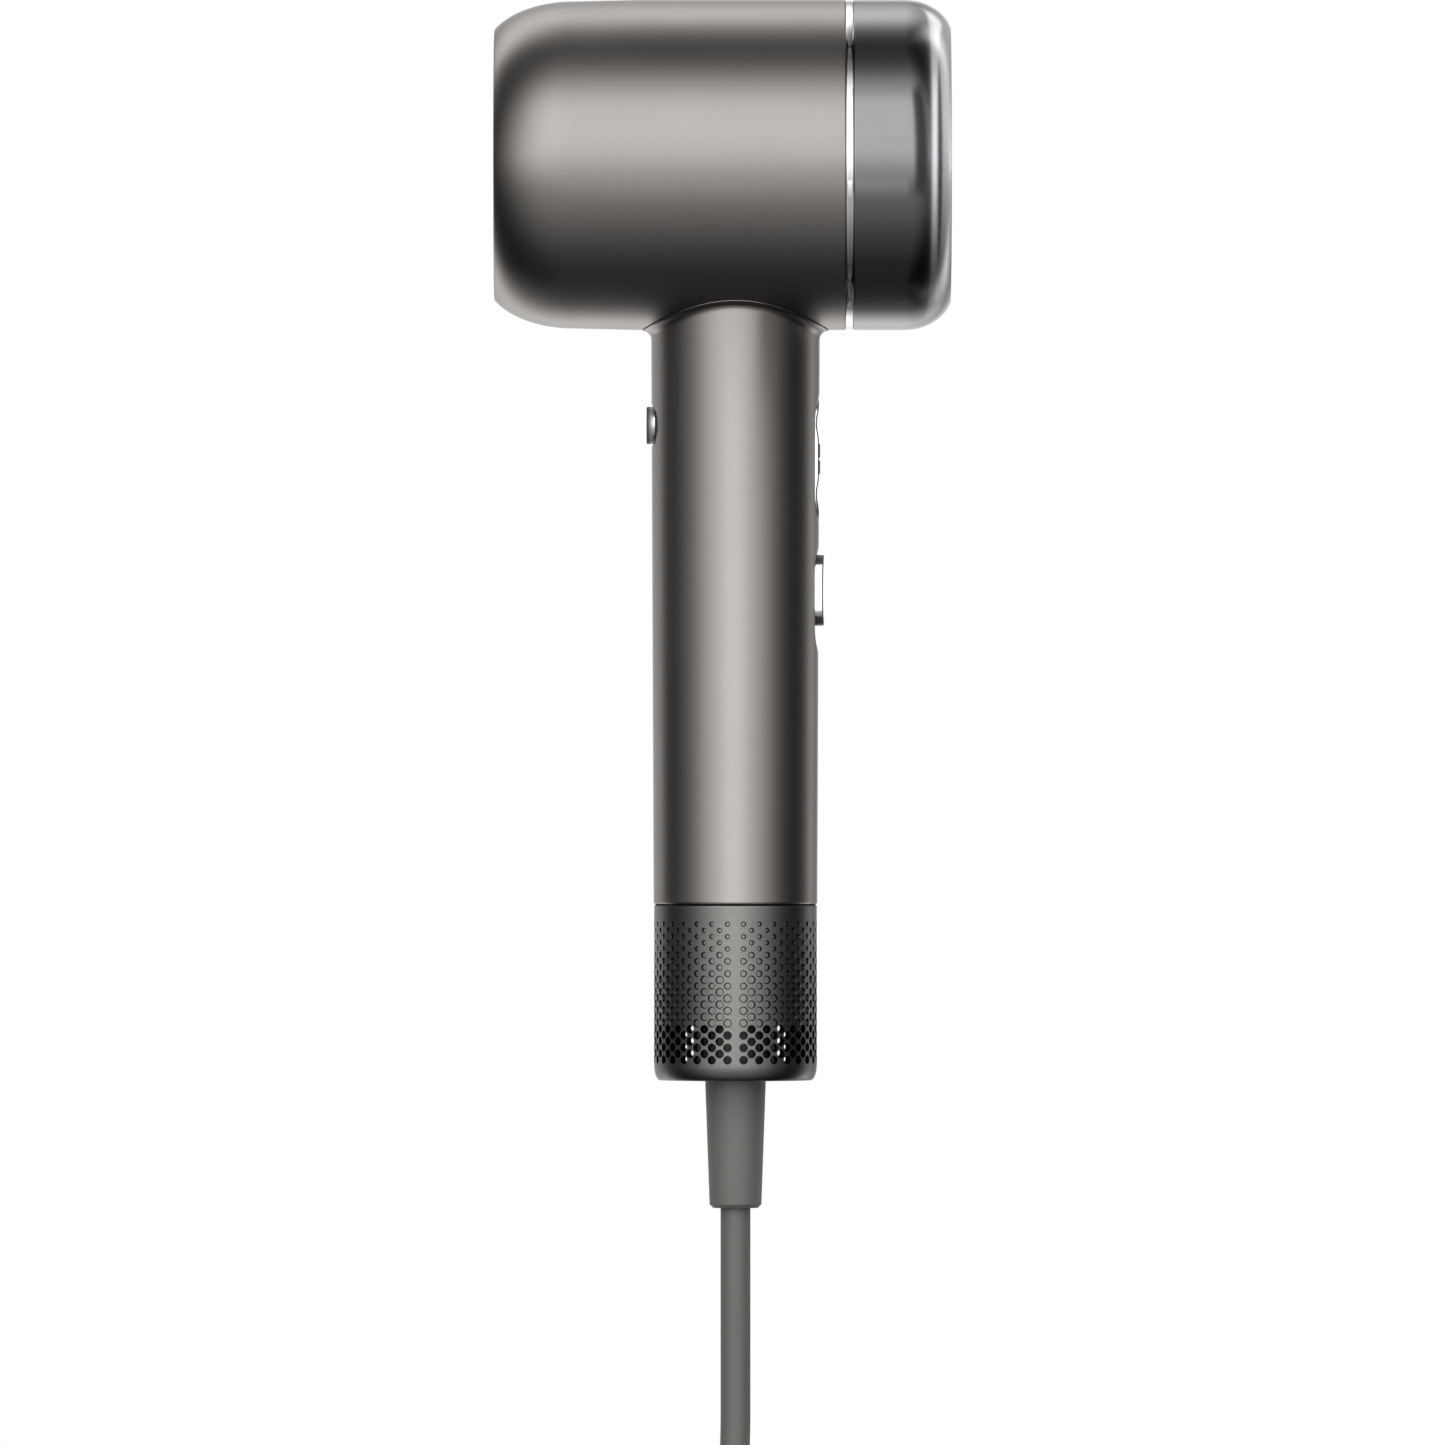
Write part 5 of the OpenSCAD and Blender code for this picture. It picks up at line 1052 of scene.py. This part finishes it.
white = add(room, "ShaderNodeBackground", {"Color": (1, 1, 1, 1),
                                           "Strength": bright.outputs["Result"]})
add(room, "ShaderNodeOutputWorld", {"Surface": white.outputs["Background"]})


def face_to(thing, place, target):
    """Puts a lamp or card at a place in millimetres and turns its face to the target."""
    away = np.array(target, float) - np.array(place, float)
    away /= np.linalg.norm(away)
    side = np.cross(away, [0, 0, 1])
    side /= np.linalg.norm(side)
    turn = np.column_stack([side, np.cross(side, away), -away])
    thing.location = np.array(place) * MM
    thing.rotation_euler = Matrix(turn.tolist()).to_euler()


def soft_lamp(name, place, target, width, height, brightness, spread=179.0):
    """A flat lamp whose face is as bright as the number given, where 1 is the white of
    the room. A flat lamp of P watts per square metre shines with P / 4 when its light
    spreads all round, and in a cone of half angle h that is times tan h / (tan h - h)."""
    lamp = bpy.data.lights.new(name, "AREA")
    lamp.shape = "RECTANGLE"
    lamp.size, lamp.size_y = width * MM, height * MM
    lamp.spread = np.radians(spread)
    h = lamp.spread / 2
    lamp.energy = brightness * width * height * MM * MM * 4 * (1 - h / np.tan(h))
    fixture = bpy.data.objects.new(name, lamp)
    bpy.context.scene.collection.objects.link(fixture)
    face_to(fixture, place, target)
    fixture.visible_camera = False
    return fixture


def grey_card(name, place, target, width, height, brightness):
    """A dim card that only reflections see."""
    paper, output, _ = new_material(name + "_paper")
    shader = add(paper, "ShaderNodeEmission",
                 {"Color": (1, 1, 1, 1), "Strength": brightness})
    paper.node_tree.links.new(shader.outputs["Emission"], output.inputs["Surface"])
    corners = np.array([[-1, -1, 0], [1, -1, 0], [1, 1, 0], [-1, 1, 0]])
    card = staged_sheet(name, corners * [width * MM / 2, height * MM / 2, 0],
                        np.arange(4)[None], paper)
    face_to(card, place, target)
    card.visible_camera = card.visible_shadow = card.visible_diffuse = False


soft_lamp("upper_lamp", (0, -1500, 1000), (0, 0, 0), 1900, 900, 0.4)
soft_lamp("handle_lamp", (-4, -190, -88), (0, 0, -88), 120, 176, 1.1, 50)
# Two bent ribbons of light on the right, dimmer towards the floor, are kept off everything
# but the rear cap.
cap_only = bpy.data.collections.new("lit_by_cap_ribbons")
cap_only.objects.link(rear_cap)
cap_only.objects.link(rear_dome)


def light_ribbon(name, lean, width, brightness, turns, shares):
    """A ribbon along the mirror directions of the cap's shoulder where that leans by so
    many degrees to the right. As the shoulder turns upwards by t they are
    (2 c sin lean, 1 - 2 c^2, 2 c cos lean sin t), with c = cos lean cos t. The ribbon's
    share of its brightness is given at angles t in degrees, called turns. It lets light
    through, because it would be a black card in the reflections of what it doesn't light."""
    distance, shoulder_x, shoulder_r = 310, 45, 33
    t, a = np.radians(np.linspace(-70, 70, 57)), np.radians(lean)
    c = np.cos(a) * np.cos(t)
    way = np.stack([2 * c * np.sin(a), 1 - 2 * c ** 2, 2 * c * np.cos(a) * np.sin(t)], -1)
    middle = distance * way + np.stack([shoulder_x + 0 * t, -shoulder_r * np.cos(t),
                                        barrel_z + shoulder_r * np.sin(t)], -1)
    across = np.cross(np.gradient(middle, axis=0), way)
    across *= width / 2 / np.linalg.norm(across, axis=1)[:, None]
    points = np.vstack([middle - across, middle + across])
    row = np.arange(len(t) - 1)
    faces = np.stack([row, row + 1, row + 1 + len(t), row + len(t)], -1)
    glow, output, _ = new_material(name + "_diffuser")
    dimmed = add(glow, "ShaderNodeMath",
                 {0: add(glow, "ShaderNodeAttribute", attribute_name="share").outputs["Fac"],
                  1: brightness}, operation="MULTIPLY")
    shine = add(glow, "ShaderNodeEmission", {"Strength": dimmed.outputs["Value"]})
    clear_film = add(glow, "ShaderNodeBsdfTransparent")
    shader = add(glow, "ShaderNodeAddShader",
                 {0: shine.outputs["Emission"], 1: clear_film.outputs["BSDF"]})
    glow.node_tree.links.new(shader.outputs["Shader"], output.inputs["Surface"])
    ribbon = staged_sheet(name, points * MM, faces, glow)
    share = np.tile(np.interp(np.degrees(t), turns, shares), 2)
    ribbon.data.attributes.new("share", "FLOAT", "POINT").data.foreach_set("value", share)
    ribbon.visible_camera = ribbon.visible_shadow = False
    ribbon.light_linking.receiver_collection = cap_only


light_ribbon("cap_strip", 31.4, 74, 4.6, [-43, -33, -25, -17, -10, -3, 6, 27, 35, 45, 70],
             [0.06, 0.13, 0.27, 0.46, 0.68, 0.89, 1.0, 0.9, 0.6, 0.4, 0.4])
light_ribbon("cap_panel", 54, 250, 2.5, [-43, -33, -17, -3, 6, 15, 27, 35, 45, 70],
             [0.08, 0.14, 0.36, 0.68, 0.9, 1.0, 0.84, 0.55, 0.34, 0.3])
# A wide lamp on each side lights the plated controls alone.
for side, place in (("right", 900), ("left", -900)):
    controls_lamp = soft_lamp(f"controls_lamp_{side}", (place, 0, 40), (0, 0, -40), 1000, 1500,
                              0.75)
    controls_lamp.light_linking.receiver_collection = plated_pieces
grey_card("cap_flag", (94, -119, 90), (45, -32, 90), 48, 190, 0.15)
